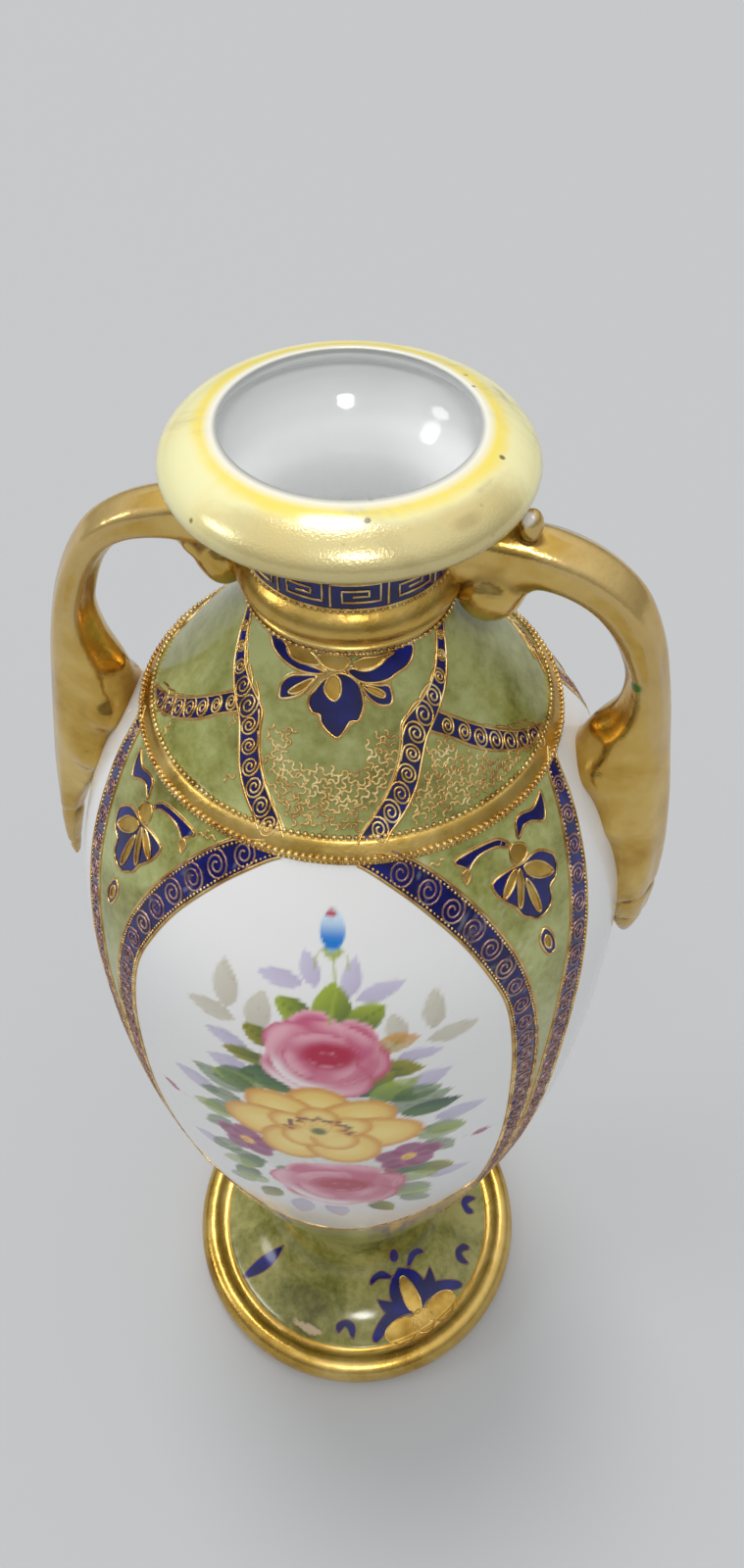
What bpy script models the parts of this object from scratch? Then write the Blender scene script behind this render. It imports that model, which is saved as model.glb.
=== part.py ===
# Two-handled porcelain vase, in metres, +Z up, standing on the centre of its foot.
# The handles lie along X and the painted front faces -Y.
import math

import bpy
from mathutils import Matrix

# Heights above the table, with the lip, neck and raised band as drops from the top
height = 0.2400
lipDrop = 0.0130
neckDrop = 0.0225
shoulderBandDrop = 0.0415
bellyHeight = 0.1490
waistHeight = 0.0262
footRimHeight = 0.0084

# Radii
lipRadius = 0.0214
mouthRadius = 0.0152
neckRadius = 0.0126
bodyRadius = 0.0420
waistRadius = 0.0156
footRadius = 0.0403

# Lip, neck and shoulder mouldings
lipThickness = 0.0062
lipTilt = 14.0
mouthEdgeHeight = 0.0016
undercut = 0.0014
neckStep = 0.0012
neckBandHeight = 0.0052
neckBandBulge = 0.0011
shoulderBandWidth = 0.0034
shoulderBandRise = 0.0004

# Walls, with the cavity's floor measured up from the waist
wall = 0.0034
floorLift = 0.0058
floorThickness = 0.0084
floorDish = 0.0020
footRimWidth = 0.0064
footFlatWidth = 0.0040
recessStep = 0.0006
cutterReach = 0.0040

# Handles
handleDrop = 0.0722
handleArch = 0.0205
handleThickness = 0.0054
handleWidth = 0.0070
tailStand = 0.0034
scrollRadius = 0.0032
scrollWidth = 0.0090
rootRadius = 0.0074
beadRadius = 0.0014

# The handles were shaped by hand, so each has its own girths, tail stand and lift
handleSides = {
    "left": {"sign": -1, "strapGirth": 0.98, "tailGirth": 0.74, "tailSpread": 1.16, "lift": 0.0007},
    "right": {"sign": 1, "strapGirth": 1.12, "tailGirth": 1.38, "tailSpread": 0.58, "lift": 0.0},
}

# Facets
turnSteps = 52
sweepSides = 12
sweepRings = 26
scrollSides = 14
lumpSides = 12
lumpRings = 8

# Heights of the joints between lip, neck and shoulder, and of the raised band
lipBase = height - lipDrop
neckBase = height - neckDrop
shoulderBandHeight = height - shoulderBandDrop


def glaze(name, color, roughness, metallic):
    """A Principled material with the part's colour, roughness and metallic value."""
    material = bpy.data.materials.new(name)
    material.use_nodes = True
    shader = material.node_tree.nodes["Principled BSDF"]
    shader.inputs["Base Color"].default_value = (*color, 1.0)
    shader.inputs["Roughness"].default_value = roughness
    shader.inputs["Metallic"].default_value = metallic
    return material


def addMesh(name, points, faces):
    """A new object from points and faces."""
    mesh = bpy.data.meshes.new(name)
    mesh.from_pydata(points, [], faces)
    mesh.validate()
    thing = bpy.data.objects.new(name, mesh)
    bpy.context.scene.collection.objects.link(thing)
    return thing


def skin(rings, sides, first, last):
    """Faces between rings of points, closed by a fan on one point at each end."""
    faces = []
    for step in range(sides):
        after = (step + 1) % sides
        faces.append((first, 1 + after, 1 + step))
        for ring in range(rings - 1):
            low = 1 + ring * sides
            high = low + sides
            faces.append((low + step, low + after, high + after, high + step))
        top = 1 + (rings - 1) * sides
        faces.append((top + step, top + after, last))
    return faces


def turned(name, outline):
    """A solid turned about Z from (radius, height) points that run from the low axis point to the high one."""
    points = [(0.0, 0.0, outline[0][1])]
    for radius, z in outline[1:-1]:
        for step in range(turnSteps):
            angle = math.tau * (step + 0.5) / turnSteps
            points.append((radius * math.cos(angle), radius * math.sin(angle), z))
    points.append((0.0, 0.0, outline[-1][1]))
    return addMesh(name, points, skin(len(outline) - 2, turnSteps, 0, len(points) - 1))


def smoothPath(stations, count):
    """Catmull-Rom curve through tuples of numbers, read at even steps."""
    ends = [stations[0]] + list(stations) + [stations[-1]]
    spans = len(stations) - 1
    path = []
    for index in range(count):
        place = index * spans / (count - 1)
        span = min(int(place), spans - 1)
        t = place - span
        four = ends[span:span + 4]
        path.append(tuple(
            0.5 * (2 * b + (c - a) * t + (2 * a - 5 * b + 4 * c - d) * t * t
                   + (3 * b - a - 3 * c + d) * t * t * t)
            for a, b, c, d in zip(*four)))
    return path


def arc(centre, radii, start, end, count):
    """Points on an ellipse in the (radius, height) plane, by angles in degrees."""
    points = []
    for index in range(count):
        angle = math.radians(start + (end - start) * index / (count - 1))
        points.append((centre[0] + radii[0] * math.cos(angle), centre[1] + radii[1] * math.sin(angle)))
    return points


def bodyRadiusAt(z):
    """Radius of the plain body at a height: a quarter sine below the belly, a falling curve above it."""
    if z <= bellyHeight:
        share = max(0.0, (z - waistHeight) / (bellyHeight - waistHeight))
        return waistRadius + (bodyRadius - waistRadius) * math.sin(share * math.pi / 2) ** 1.03
    share = min(1.0, (z - bellyHeight) / (neckBase - bellyHeight))
    return neckRadius + (bodyRadius - neckRadius) * (1 - share ** 3.0) ** 1.42


def footOutline():
    """Underside, rounded rim and the coved pedestal up to the waist."""
    rimMiddle = footRadius - footRimWidth / 2
    flatOuter = footRadius - footRimWidth * 0.30
    outline = [(0.0, 0.0), (flatOuter - footFlatWidth, 0.0), (flatOuter, 0.0)]
    outline += arc((rimMiddle, footRimHeight / 2), (footRimWidth / 2, footRimHeight / 2), -42, 150, 8)
    coveRadius = footRadius - footRimWidth
    coveDepth = coveRadius - waistRadius
    coveHeight = waistHeight - footRimHeight * 0.72
    outline += arc((coveRadius, waistHeight), (coveDepth, coveHeight), 252, 180, 5)
    return outline


def bodyOutline():
    """Body from above the waist to the neck, with the low raised band round its shoulder."""
    outline = []
    lowRings = 9
    for index in range(1, lowRings + 1):
        z = waistHeight + (bellyHeight - waistHeight) * (index / lowRings) ** 1.15
        outline.append((bodyRadiusAt(z), z))
    bandLow = shoulderBandHeight - shoulderBandWidth * 0.36
    bandHigh = shoulderBandHeight + shoulderBandWidth * 0.36
    for index in range(1, 6):
        z = bellyHeight + (bandLow - bellyHeight) * index / 5
        outline.append((bodyRadiusAt(z), z))
    outline.append((bodyRadiusAt(shoulderBandHeight) + shoulderBandRise, shoulderBandHeight))
    for index in range(5):
        z = bandHigh + (neckBase - bandHigh) * index / 4
        outline.append((bodyRadiusAt(z), z))
    return outline


def lipOutline():
    """Rolled lip from its underside round to the mouth's edge, as part of a tilted ellipse."""
    tilt = math.radians(lipTilt)
    half = lipThickness / 2
    reach = (lipRadius - mouthRadius) / math.cos(tilt)
    points = []
    for degrees in (-82, -52, -26, 0, 28, 58, 84, 103):
        along = reach * math.cos(math.radians(degrees))
        across = half * math.sin(math.radians(degrees))
        points.append((mouthRadius + along * math.cos(tilt) + across * math.sin(tilt),
                       across * math.cos(tilt) - along * math.sin(tilt)))
    rise = height - points[-1][1]
    return [(radius, z + rise) for radius, z in points]


def outerOutline():
    """The whole outside, from the middle of the underside up to the middle of the mouth."""
    neckBand = (neckRadius, neckBase + neckStep + neckBandHeight / 2)
    outline = footOutline() + bodyOutline()
    outline += arc(neckBand, (neckBandBulge, neckBandHeight / 2), -90, 90, 5)
    outline.append((neckRadius, lipBase + lipDrop * 0.22))
    outline += lipOutline()
    outline.append((0.0, outline[-1][1]))
    return outline


def cavityOutline():
    """The hollow inside, from its floor up through the neck and out of the mouth."""
    floor = waistHeight + floorLift
    throat = neckRadius - wall
    outline = [(0.0, floor)]
    for index in range(7):
        z = floor + floorDish + (bellyHeight - floor) * (index / 6) ** 1.2
        outline.append((bodyRadiusAt(z) - wall * (1.15 if index < 4 else 1.03), z))
    for index in range(1, 5):
        z = bellyHeight + (shoulderBandHeight - bellyHeight) * index / 4
        lean = wall * 0.30 * index / 4
        outline.append((bodyRadiusAt(z) - wall - lean, z - lean))
    shoulderLow = neckBase - wall * 2.65
    outline.append((max(throat, bodyRadiusAt(shoulderLow) - wall * 1.3), shoulderLow - wall * 0.6))
    outline.append((throat, neckBase - wall * 0.9))
    outline.append((throat, lipBase))
    outline.append((throat + (mouthRadius - throat) * 0.45, height - lipDrop * 0.56))
    outline.append((mouthRadius + undercut * 0.4, height - lipDrop * 0.30))
    outline.append((mouthRadius + undercut, height - mouthEdgeHeight * 1.75))
    outline.append((mouthRadius, height - mouthEdgeHeight))
    outline.append((mouthRadius, height + cutterReach))
    outline.append((0.0, height + cutterReach))
    return outline


def recessOutline():
    """The hollow under the foot."""
    inner = footRadius - footRimWidth * 0.30 - footFlatWidth
    throat = waistRadius - wall
    top = waistHeight + floorLift - floorThickness
    return [(0.0, -cutterReach), (inner, -cutterReach), (inner, recessStep),
            (inner - (inner - throat) * 0.16, footRimHeight * 0.45),
            (throat + (inner - throat) * 0.30, waistHeight * 0.34),
            (throat + (inner - throat) * 0.045, waistHeight * 0.62),
            (throat * 0.80, top - waistHeight * 0.057), (0.0, top)]


def handleStations(side):
    """Centre line and half sizes down one handle: radius, height, half thickness, half width."""
    hand = handleSides[side]
    half = handleThickness / 2
    broad = handleWidth / 2
    top = lipBase - half * 0.85 + hand["lift"]
    strapRows = [
        (0.000, -0.07, 2.00, 0.90), (0.004, 0.32, 1.50, 0.95), (0.014, 0.62, 1.02, 0.98),
        (0.072, 0.93, 0.96, 1.00), (0.176, 0.985, 1.02, 1.04), (0.262, 0.82, 1.18, 1.10),
        (0.372, 0.54, 1.50, 1.40)]
    tailRows = [
        (0.540, 1.00, 1.75, 1.75), (0.700, 1.05, 1.34, 1.30), (0.800, 1.00, 1.08, 1.06),
        (0.846, 1.00, 0.84, 0.84), (0.886, 1.02, 0.90, 0.90), (0.950, 1.08, 0.56, 0.60),
        (1.000, 1.12, 0.20, 0.22)]
    stations = []
    for drop, stand, thick, wide in strapRows:
        z = top - handleDrop * drop
        stations.append((bodyRadiusAt(z) + handleArch * stand, z, half * thick * hand["strapGirth"],
                         broad * wide * hand["strapGirth"]))
    for drop, stand, thick, wide in tailRows:
        z = top - handleDrop * drop
        stations.append((bodyRadiusAt(z) + tailStand * hand["tailSpread"] * stand, z,
                         half * thick * hand["tailGirth"], broad * wide))
    return stations


def swept(name, side):
    """A rounded strap swept down the handle's centre line in the XZ plane."""
    path = smoothPath(handleStations(side), sweepRings)
    sign = handleSides[side]["sign"]
    points = []
    for index, (radius, z, thick, wide) in enumerate(path):
        before = path[max(index - 1, 0)]
        after = path[min(index + 1, len(path) - 1)]
        run = (after[0] - before[0], after[1] - before[1])
        length = math.hypot(*run)
        outward = (-run[1] / length, run[0] / length)
        for step in range(sweepSides):
            angle = math.tau * (step + 0.5) / sweepSides
            across = thick * math.cos(angle)
            points.append((sign * (radius + outward[0] * across), wide * math.sin(angle),
                           z + outward[1] * across))
    faces = [tuple(range(sweepSides)), tuple(reversed(range(len(points) - sweepSides, len(points))))]
    for ring in range(len(path) - 1):
        low = ring * sweepSides
        high = low + sweepSides
        for step in range(sweepSides):
            after = (step + 1) % sweepSides
            faces.append((low + after, low + step, high + step, high + after))
    if sign < 0:
        faces = [tuple(reversed(face)) for face in faces]
    return addMesh(name, points, faces)


def lump(name, centre, radii):
    """A rounded lump with its poles along Y."""
    points = [(0.0, 0.0, -1.0)]
    for ring in range(1, lumpRings):
        angle = math.pi * ring / lumpRings
        for step in range(lumpSides):
            turn = math.tau * step / lumpSides
            points.append((math.sin(angle) * math.cos(turn), math.sin(angle) * math.sin(turn), -math.cos(angle)))
    points.append((0.0, 0.0, 1.0))
    rounded = addMesh(name, points, skin(lumpRings - 1, lumpSides, 0, len(points) - 1))
    rounded.data.transform(Matrix.Translation(centre) @ Matrix.Diagonal((*radii, 1.0))
                           @ Matrix.Rotation(math.pi / 2, 4, "X"))
    return rounded


def scroll(name, side):
    """The rolled end of a handle against the neck, a short drum with rounded edges along Y."""
    sign = handleSides[side]["sign"]
    profile = [(0.55, -0.50), (0.90, -0.42), (1.0, -0.22), (1.0, 0.22), (0.90, 0.42), (0.55, 0.50)]
    start = handleStations(side)[0]
    centre = (neckRadius + scrollRadius * 1.28, start[1] - start[2] - scrollRadius * 0.62)
    points = [(sign * centre[0], -scrollWidth / 2, centre[1])]
    for share, along in profile:
        for step in range(scrollSides):
            angle = math.tau * step / scrollSides
            points.append((sign * (centre[0] + scrollRadius * share * math.cos(angle)),
                           scrollWidth * along, centre[1] + scrollRadius * share * math.sin(angle)))
    points.append((sign * centre[0], scrollWidth / 2, centre[1]))
    faces = skin(len(profile), scrollSides, 0, len(points) - 1)
    if sign > 0:
        faces = [tuple(reversed(face)) for face in faces]
    return addMesh(name, points, faces)


def combine(target, tool, operation):
    """Adds or cuts a shape with a Boolean modifier and hides the tool."""
    tool.hide_render = True
    tool.display_type = "WIRE"
    step = target.modifiers.new(tool.name, "BOOLEAN")
    step.operation = operation
    step.solver = "EXACT"
    step.object = tool


def addHandle(vase, side):
    """Strap with its tail, rolled end at the neck and rounded root on the shoulder."""
    rootHeight = shoulderBandHeight - rootRadius * 0.80
    rootPlace = handleSides[side]["sign"] * (bodyRadiusAt(rootHeight) + rootRadius * 0.05)
    combine(vase, swept("strap_" + side, side), "UNION")
    combine(vase, scroll("scroll_" + side, side), "UNION")
    combine(vase, lump("root_" + side, (rootPlace, 0.0, rootHeight),
                       (rootRadius, rootRadius * 0.86, rootRadius)), "UNION")


def buildVase():
    vase = turned("vase", outerOutline())
    for side in handleSides:
        addHandle(vase, side)
    beadCentre = (lipRadius - beadRadius * 0.2, -handleWidth * 0.28, lipBase + beadRadius * 1.1)
    combine(vase, lump("bead", beadCentre, (beadRadius, beadRadius, beadRadius * 2.2)), "UNION")
    combine(vase, turned("cavity", cavityOutline()), "DIFFERENCE")
    combine(vase, turned("recess", recessOutline()), "DIFFERENCE")
    vase.data.materials.append(glaze("porcelain", (0.62, 0.60, 0.42), 0.18, 0.0))
    vase.data.shade_smooth()


for old in list(bpy.data.objects):
    bpy.data.objects.remove(old, do_unlink=True)
buildVase()
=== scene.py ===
import math
import random

import bpy
import bmesh
import numpy as np
from mathutils import Matrix, Vector


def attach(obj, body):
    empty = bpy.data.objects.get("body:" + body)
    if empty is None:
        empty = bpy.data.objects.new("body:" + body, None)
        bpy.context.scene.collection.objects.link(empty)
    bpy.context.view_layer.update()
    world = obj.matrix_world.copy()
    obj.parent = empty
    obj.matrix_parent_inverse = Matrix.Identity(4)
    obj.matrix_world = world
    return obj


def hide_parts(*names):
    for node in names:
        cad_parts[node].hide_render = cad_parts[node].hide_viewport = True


# Looks of the two-handled painted vase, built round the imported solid.
# Angles are in degrees round the vase, 0 at the painted front (-Y) and 90 at the right handle (+X).
# Levels are heights in millimetres, or radii in millimetres on the foot.

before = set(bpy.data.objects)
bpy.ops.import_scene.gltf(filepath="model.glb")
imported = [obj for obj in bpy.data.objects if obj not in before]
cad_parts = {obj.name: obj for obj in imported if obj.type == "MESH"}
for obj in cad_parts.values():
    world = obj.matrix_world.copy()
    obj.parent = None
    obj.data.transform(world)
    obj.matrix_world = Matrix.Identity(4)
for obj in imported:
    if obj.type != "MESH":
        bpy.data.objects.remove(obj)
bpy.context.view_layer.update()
mm = 0.001
tau = math.tau

vaseShape = {
    "height": 0.2400, "neckDrop": 0.0225, "bellyHeight": 0.1490, "waistHeight": 0.0262,
    "footRimHeight": 0.0084, "lipRadius": 0.0214, "mouthRadius": 0.0152, "neckRadius": 0.0126,
    "bodyRadius": 0.0420, "waistRadius": 0.0156, "footRadius": 0.0403, "footRimWidth": 0.0064,
    "wall": 0.0034, "bandHeight": 0.1988, "bandWidth": 0.0026, "bandRise": 0.00035,
    "turnAngle": 2.0,
}
height = vaseShape["height"]
neckBase = height - vaseShape["neckDrop"]
panelTurn = vaseShape["turnAngle"]
# Levels where the body ends under the gold band and the shoulder ends at the neck
bodyTop = 198.6
shoulderTop = 217.2


# Surface of the vase

def bodyRadiusAt(z):
    belly = vaseShape["bellyHeight"]
    full = vaseShape["bodyRadius"]
    if z <= belly:
        share = max(0.0, (z - vaseShape["waistHeight"]) / (belly - vaseShape["waistHeight"]))
        waist = vaseShape["waistRadius"]
        return waist + (full - waist) * math.sin(share * math.pi / 2) ** 1.03
    share = min(1.0, (z - belly) / (neckBase - belly))
    neck = vaseShape["neckRadius"]
    plain = neck + (full - neck) * (1 - share ** 3.0) ** 1.42
    away = abs(z - vaseShape["bandHeight"]) / (vaseShape["bandWidth"] / 2)
    if away < 1:
        plain += vaseShape["bandRise"] * (1 - away ** 4)
    return plain


def footHeightAt(radius):
    edge = vaseShape["footRadius"] - vaseShape["footRimWidth"]
    if radius < edge:
        share = (edge - radius) / (edge - vaseShape["waistRadius"])
        fall = vaseShape["waistHeight"] - vaseShape["footRimHeight"] * 0.72
        return vaseShape["waistHeight"] - fall * math.sqrt(max(0.0, 1 - share * share))
    half = vaseShape["footRimWidth"] / 2
    away = (radius - edge - half) / half
    return vaseShape["footRimHeight"] / 2 * (1 + math.sqrt(max(0.0, 1 - away * away)))


def onBody(angle, level, lift=0.0):
    z = level * mm
    step = 0.00002
    slope = (bodyRadiusAt(z + step) - bodyRadiusAt(z - step)) / (2 * step)
    scale = lift / math.hypot(1.0, slope)
    radius = bodyRadiusAt(z) + scale
    turn = math.radians(angle)
    return Vector((radius * math.sin(turn), -radius * math.cos(turn), z - slope * scale))


def onFoot(angle, level, lift=0.0):
    radius = level * mm
    step = 0.00002
    slope = (footHeightAt(radius + step) - footHeightAt(radius - step)) / (2 * step)
    scale = lift / math.hypot(1.0, slope)
    turn = math.radians(angle)
    reach = radius - slope * scale
    return Vector((reach * math.sin(turn), -reach * math.cos(turn), footHeightAt(radius) + scale))


def angleOf(point):
    return math.degrees(math.atan2(point[0], -point[1]))


def smooth(points, steps=6, closed=False):
    # Catmull-Rom curve through a few given points
    count = len(points)
    line = []
    for index in range(count if closed else count - 1):
        four = [points[(index + k) % count] if closed else points[min(max(index + k, 0), count - 1)]
                for k in (-1, 0, 1, 2)]
        for part in range(steps):
            t = part / steps
            line.append(tuple(
                0.5 * (2 * b + (c - a) * t + (2 * a - 5 * b + 4 * c - d) * t * t
                       + (3 * b - a - 3 * c + d) * t * t * t) for a, b, c, d in zip(*four)))
    if not closed:
        line.append(tuple(points[-1]))
    return line


def ellipse(angle, level, halfAngle, halfLevel):
    steps = 20
    turns = [tau * index / steps for index in range(steps)]
    return [(angle + halfAngle * math.cos(turn), level + halfLevel * math.sin(turn)) for turn in turns]

def petal(base, tip, width):
    # Leaf outline from base to tip in (angle, level), up one side and back down the other
    steps = 9
    fullness = 0.55
    run = (tip[0] - base[0], tip[1] - base[1])
    side = (-run[1] * width[0], run[0] * width[1])
    line = []
    for index in list(range(steps + 1)) + list(range(1 - steps, 0)):
        t = abs(index) / steps
        swell = math.copysign(math.sin(math.pi * t ** fullness), index)
        line.append((base[0] + run[0] * t + side[0] * swell, base[1] + run[1] * t + side[1] * swell))
    return line

def symmetric(half):
    # Outline completed by the mirror image of its half
    return half + [(-a, level) for a, level in reversed(half[1:-1])]


def shifted(outline, angle, side=1):
    moved = [(angle + side * a, level) for a, level in outline]
    return moved if side > 0 else list(reversed(moved))


def addObject(name, data):
    thing = bpy.data.objects.new(name, data)
    bpy.context.scene.collection.objects.link(thing)
    return thing

def keepValues(mesh, name, values):
    # Keeps one number for each point, for the material to read
    mesh.attributes.new(name, "FLOAT", "POINT").data.foreach_set("value", values.astype(np.float32))

def changeValues(mesh, name, change):
    held = np.empty(len(mesh.vertices))
    mesh.attributes[name].data.foreach_get("value", held)
    mesh.attributes[name].data.foreach_set("value", change(held).astype(np.float32))

# Materials

def node(tree, kind, inputs=None, **settings):
    made = tree.nodes.new(kind)
    for key, value in settings.items():
        setattr(made, key, value)
    for key, value in (inputs or {}).items():
        if isinstance(value, bpy.types.NodeSocket):
            tree.links.new(value, made.inputs[key])
        else:
            made.inputs[key].default_value = value
    return made


def newMaterial(name, **fixed):
    made = bpy.data.materials.new(name)
    made.use_nodes = True
    shader = made.node_tree.nodes["Principled BSDF"]
    for key, value in fixed.items():
        shader.inputs[key.replace("_", " ")].default_value = value
    return made, made.node_tree, shader


def mixed(tree, share, first, second):
    made = node(tree, "ShaderNodeMix", {0: share}, data_type="RGBA")
    for index, value in ((6, first), (7, second)):
        if isinstance(value, bpy.types.NodeSocket):
            tree.links.new(value, made.inputs[index])
        else:
            made.inputs[index].default_value = (*value, 1.0)
    return made.outputs[2]


def noise(tree, scale, detail=4.0, roughness=0.55, distortion=0.0):
    place = node(tree, "ShaderNodeTexCoord")
    return node(tree, "ShaderNodeTexNoise", {
        "Vector": place.outputs["Object"], "Scale": scale, "Detail": detail,
        "Roughness": roughness, "Distortion": distortion}).outputs["Fac"]


def ranged(tree, value, low, high, start=0.0, end=1.0):
    return node(tree, "ShaderNodeMapRange", {
        "Value": value, "From Min": low, "From Max": high, "To Min": start, "To Max": end},
        interpolation_type="SMOOTHSTEP").outputs["Result"]


def ramp(tree, value, stops):
    made = node(tree, "ShaderNodeValToRGB", {"Fac": value})
    elements = made.color_ramp.elements
    while len(elements) < len(stops):
        elements.new(0.5)
    for element, (place, color) in zip(elements, stops):
        element.position = place
        element.color = (*color, 1.0)
    return made.outputs["Color"]


def kept(tree, name):
    # Number kept on the points of the piece
    return node(tree, "ShaderNodeAttribute", attribute_name=name).outputs["Fac"]

def masked(tree, name):
    # 1 inside the painted outlines and 0 outside, from the distance kept in millimetres
    soft = 0.05
    return ranged(tree, kept(tree, name), -soft, soft, 1.0, 0.0)


def multiplied(tree, first, second, operation="MULTIPLY"):
    return node(tree, "ShaderNodeMath", {0: first, 1: second}, operation=operation).outputs[0]


def added(tree, first, second):
    return multiplied(tree, first, second, "ADD")

def bumped(tree, shader, value, distance, strength=1.0):
    made = node(tree, "ShaderNodeBump", {"Height": value, "Distance": distance, "Strength": strength})
    tree.links.new(made.outputs["Normal"], shader.inputs["Normal"])


glazes = {
    "white": (0.81, 0.81, 0.79), "creamLight": (0.78, 0.75, 0.42), "creamDeep": (0.80, 0.66, 0.13),
    "greenDark": (0.135, 0.125, 0.022), "green": (0.262, 0.275, 0.075), "greenPale": (0.40, 0.43, 0.18),
    "footDark": (0.070, 0.062, 0.008), "footGreen": (0.150, 0.150, 0.028), "footPale": (0.30, 0.28, 0.09),
    "cobalt": (0.0030, 0.0030, 0.060), "cobaltLight": (0.006, 0.010, 0.185),
    "gold": (0.58, 0.37, 0.080), "goldPale": (0.78, 0.57, 0.20), "goldDeep": (0.36, 0.19, 0.030),
    "goldWorn": (0.60, 0.44, 0.19), "goldShade": (0.15, 0.065, 0.012), "outline": (0.55, 0.35, 0.12),
    "outlineSoft": (0.16, 0.08, 0.05), "peach": (0.52, 0.35, 0.22), "smudge": (0.36, 0.33, 0.22),
    "dirt": (0.14, 0.09, 0.035), "whiteCool": (0.73, 0.74, 0.76), "knobHighlight": (0.80, 0.77, 0.74),
    "greenSpot": (0.05, 0.17, 0.02), "creamWarm": (0.78, 0.70, 0.34), "lipGrey": (0.46, 0.43, 0.27),
    "lipRubbed": (0.27, 0.235, 0.13), "mouth": (0.76, 0.77, 0.75), "speck": (0.055, 0.04, 0.018),
    "sheenLustreColor": (0.60, 0.46, 0.18), "inside": (0.83, 0.845, 0.84), "insideCool": (0.76, 0.78, 0.78),
    "stain": (0.40, 0.38, 0.30), "clay": (0.62, 0.58, 0.50), "clayDark": (0.42, 0.37, 0.29),
}
# Places and colours of the three tones of raised gold
slipGolds = {
    "bright": ((0.34, (0.42, 0.23, 0.07)), (0.50, (0.70, 0.47, 0.16)), (0.68, (0.92, 0.74, 0.38))),
    "mauve": ((0.34, (0.42, 0.22, 0.22)), (0.50, (0.70, 0.40, 0.36)), (0.68, (1.0, 0.66, 0.50))),
}


def greenGround(tree, tones):
    broad = noise(tree, 75.0, 3.0, 0.6, 0.4)
    fine = noise(tree, 620.0, 5.0, 0.7)
    both = added(tree, broad, multiplied(tree, fine, 0.45))
    return ramp(tree, both, [(place, glazes[tone]) for place, tone in zip((0.50, 0.66, 0.88), tones)]), fine


def goldTone(tree):
    broad = noise(tree, 140.0, 3.0, 0.6)
    return ramp(tree, broad, [(0.30, glazes["goldDeep"]), (0.50, glazes["gold"]), (0.72, glazes["goldPale"])])


def paintedGlaze(name, white=False, tones=("greenDark", "green", "greenPale"), rimTone="outline"):
    # Green ground with white panels, cobalt shapes in a thin line, flat gold and the painted picture on it
    rim = 0.30
    made, tree, shader = newMaterial(name, IOR=1.48)
    color, fine = greenGround(tree, tones)
    dirt = ranged(tree, noise(tree, 210.0, 5.0, 0.75, 0.3), 0.60, 0.76, 0.0, 0.45)
    color = mixed(tree, dirt, color, glazes["dirt"])
    if white:
        tint = mixed(tree, noise(tree, 30.0, 2.0), glazes["white"], glazes["whiteCool"])
        color = mixed(tree, masked(tree, "white"), color, tint)
    patchy = ranged(tree, added(tree, noise(tree, 260.0, 5.0, 0.7), kept(tree, "worn")), 0.95, 1.15)
    worn = mixed(tree, noise(tree, 420.0, 3.0), glazes["peach"], glazes["smudge"])
    color = mixed(tree, patchy, color, worn)
    edge = kept(tree, "cobalt")
    inside = masked(tree, "cobalt")
    border = ranged(tree, edge, rim - 0.08, rim + 0.08, 1.0, 0.0)
    color = mixed(tree, border, color, glazes[rimTone])
    blue = mixed(tree, ranged(tree, noise(tree, 190.0, 4.0, 0.65), 0.35, 0.75), glazes["cobalt"],
                 glazes["cobaltLight"])
    color = mixed(tree, inside, color, blue)
    if white:
        paint = node(tree, "ShaderNodeAttribute", attribute_name="paint")
        color = mixed(tree, kept(tree, "cover"), color, paint.outputs["Color"])
    gilt = masked(tree, "gilt")
    color = mixed(tree, gilt, color, goldTone(tree))
    tree.links.new(color, shader.inputs["Base Color"])
    metal = gilt
    if rimTone == "outline":
        plain = multiplied(tree, inside, -1.0)
        metal = multiplied(tree, gilt, multiplied(tree, added(tree, border, plain), 0.8), "MAXIMUM")
    tree.links.new(multiplied(tree, metal, 0.9), shader.inputs["Metallic"])
    rough = ranged(tree, fine, 0.3, 0.8, 0.0, 0.06)
    tree.links.new(added(tree, ranged(tree, metal, 0.0, 1.0, 0.13, 0.32), rough),
                   shader.inputs["Roughness"])
    bumped(tree, shader, added(tree, rough, multiplied(tree, metal, 0.8)), 0.00006)
    return made


def gilding(name, wear, rough, marks=False):
    # Burnished gold over glaze, rubbed pale where it stands proud; with marks, painted shade in its hollows,
    # a painted highlight on the knob and a green spot
    made, tree, shader = newMaterial(name, IOR=1.5)
    broad = noise(tree, 85.0, 4.0, 0.6, 0.3)
    fine = noise(tree, 900.0, 4.0, 0.65)
    color = ramp(tree, broad, [(0.30, glazes["goldDeep"]), (0.46, glazes["gold"]),
                               (0.70, glazes["goldPale"])])
    share = ranged(tree, added(tree, kept(tree, "rubbed"), multiplied(tree, broad, 0.5)),
                   0.75, 1.15, 0.0, wear)
    color = mixed(tree, share, color, glazes["goldWorn"])
    metal = ranged(tree, share, 0.0, 1.0, 0.96, 0.45)
    if marks:
        # Painted shade: the hollows of the handle darkened towards a deep brown
        deep = kept(tree, "deep")
        color = mixed(tree, multiplied(tree, deep, 0.8), color, glazes["goldShade"])
        # Painted highlight: a pale spot on the knob of the right handle
        knobHighlight = kept(tree, "knobHighlight")
        dot = kept(tree, "green")
        color = mixed(tree, knobHighlight, color, glazes["knobHighlight"])
        color = mixed(tree, dot, color, glazes["greenSpot"])
        metal = added(tree, metal, multiplied(tree, added(tree, knobHighlight, dot), -0.9))
    tree.links.new(color, shader.inputs["Base Color"])
    tree.links.new(metal, shader.inputs["Metallic"])
    tree.links.new(ranged(tree, broad, 0.25, 0.8, rough * 0.75, rough * 1.5), shader.inputs["Roughness"])
    bumped(tree, shader, added(tree, broad, multiplied(tree, fine, 0.25)), 0.00035, 0.6)
    return made


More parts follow.
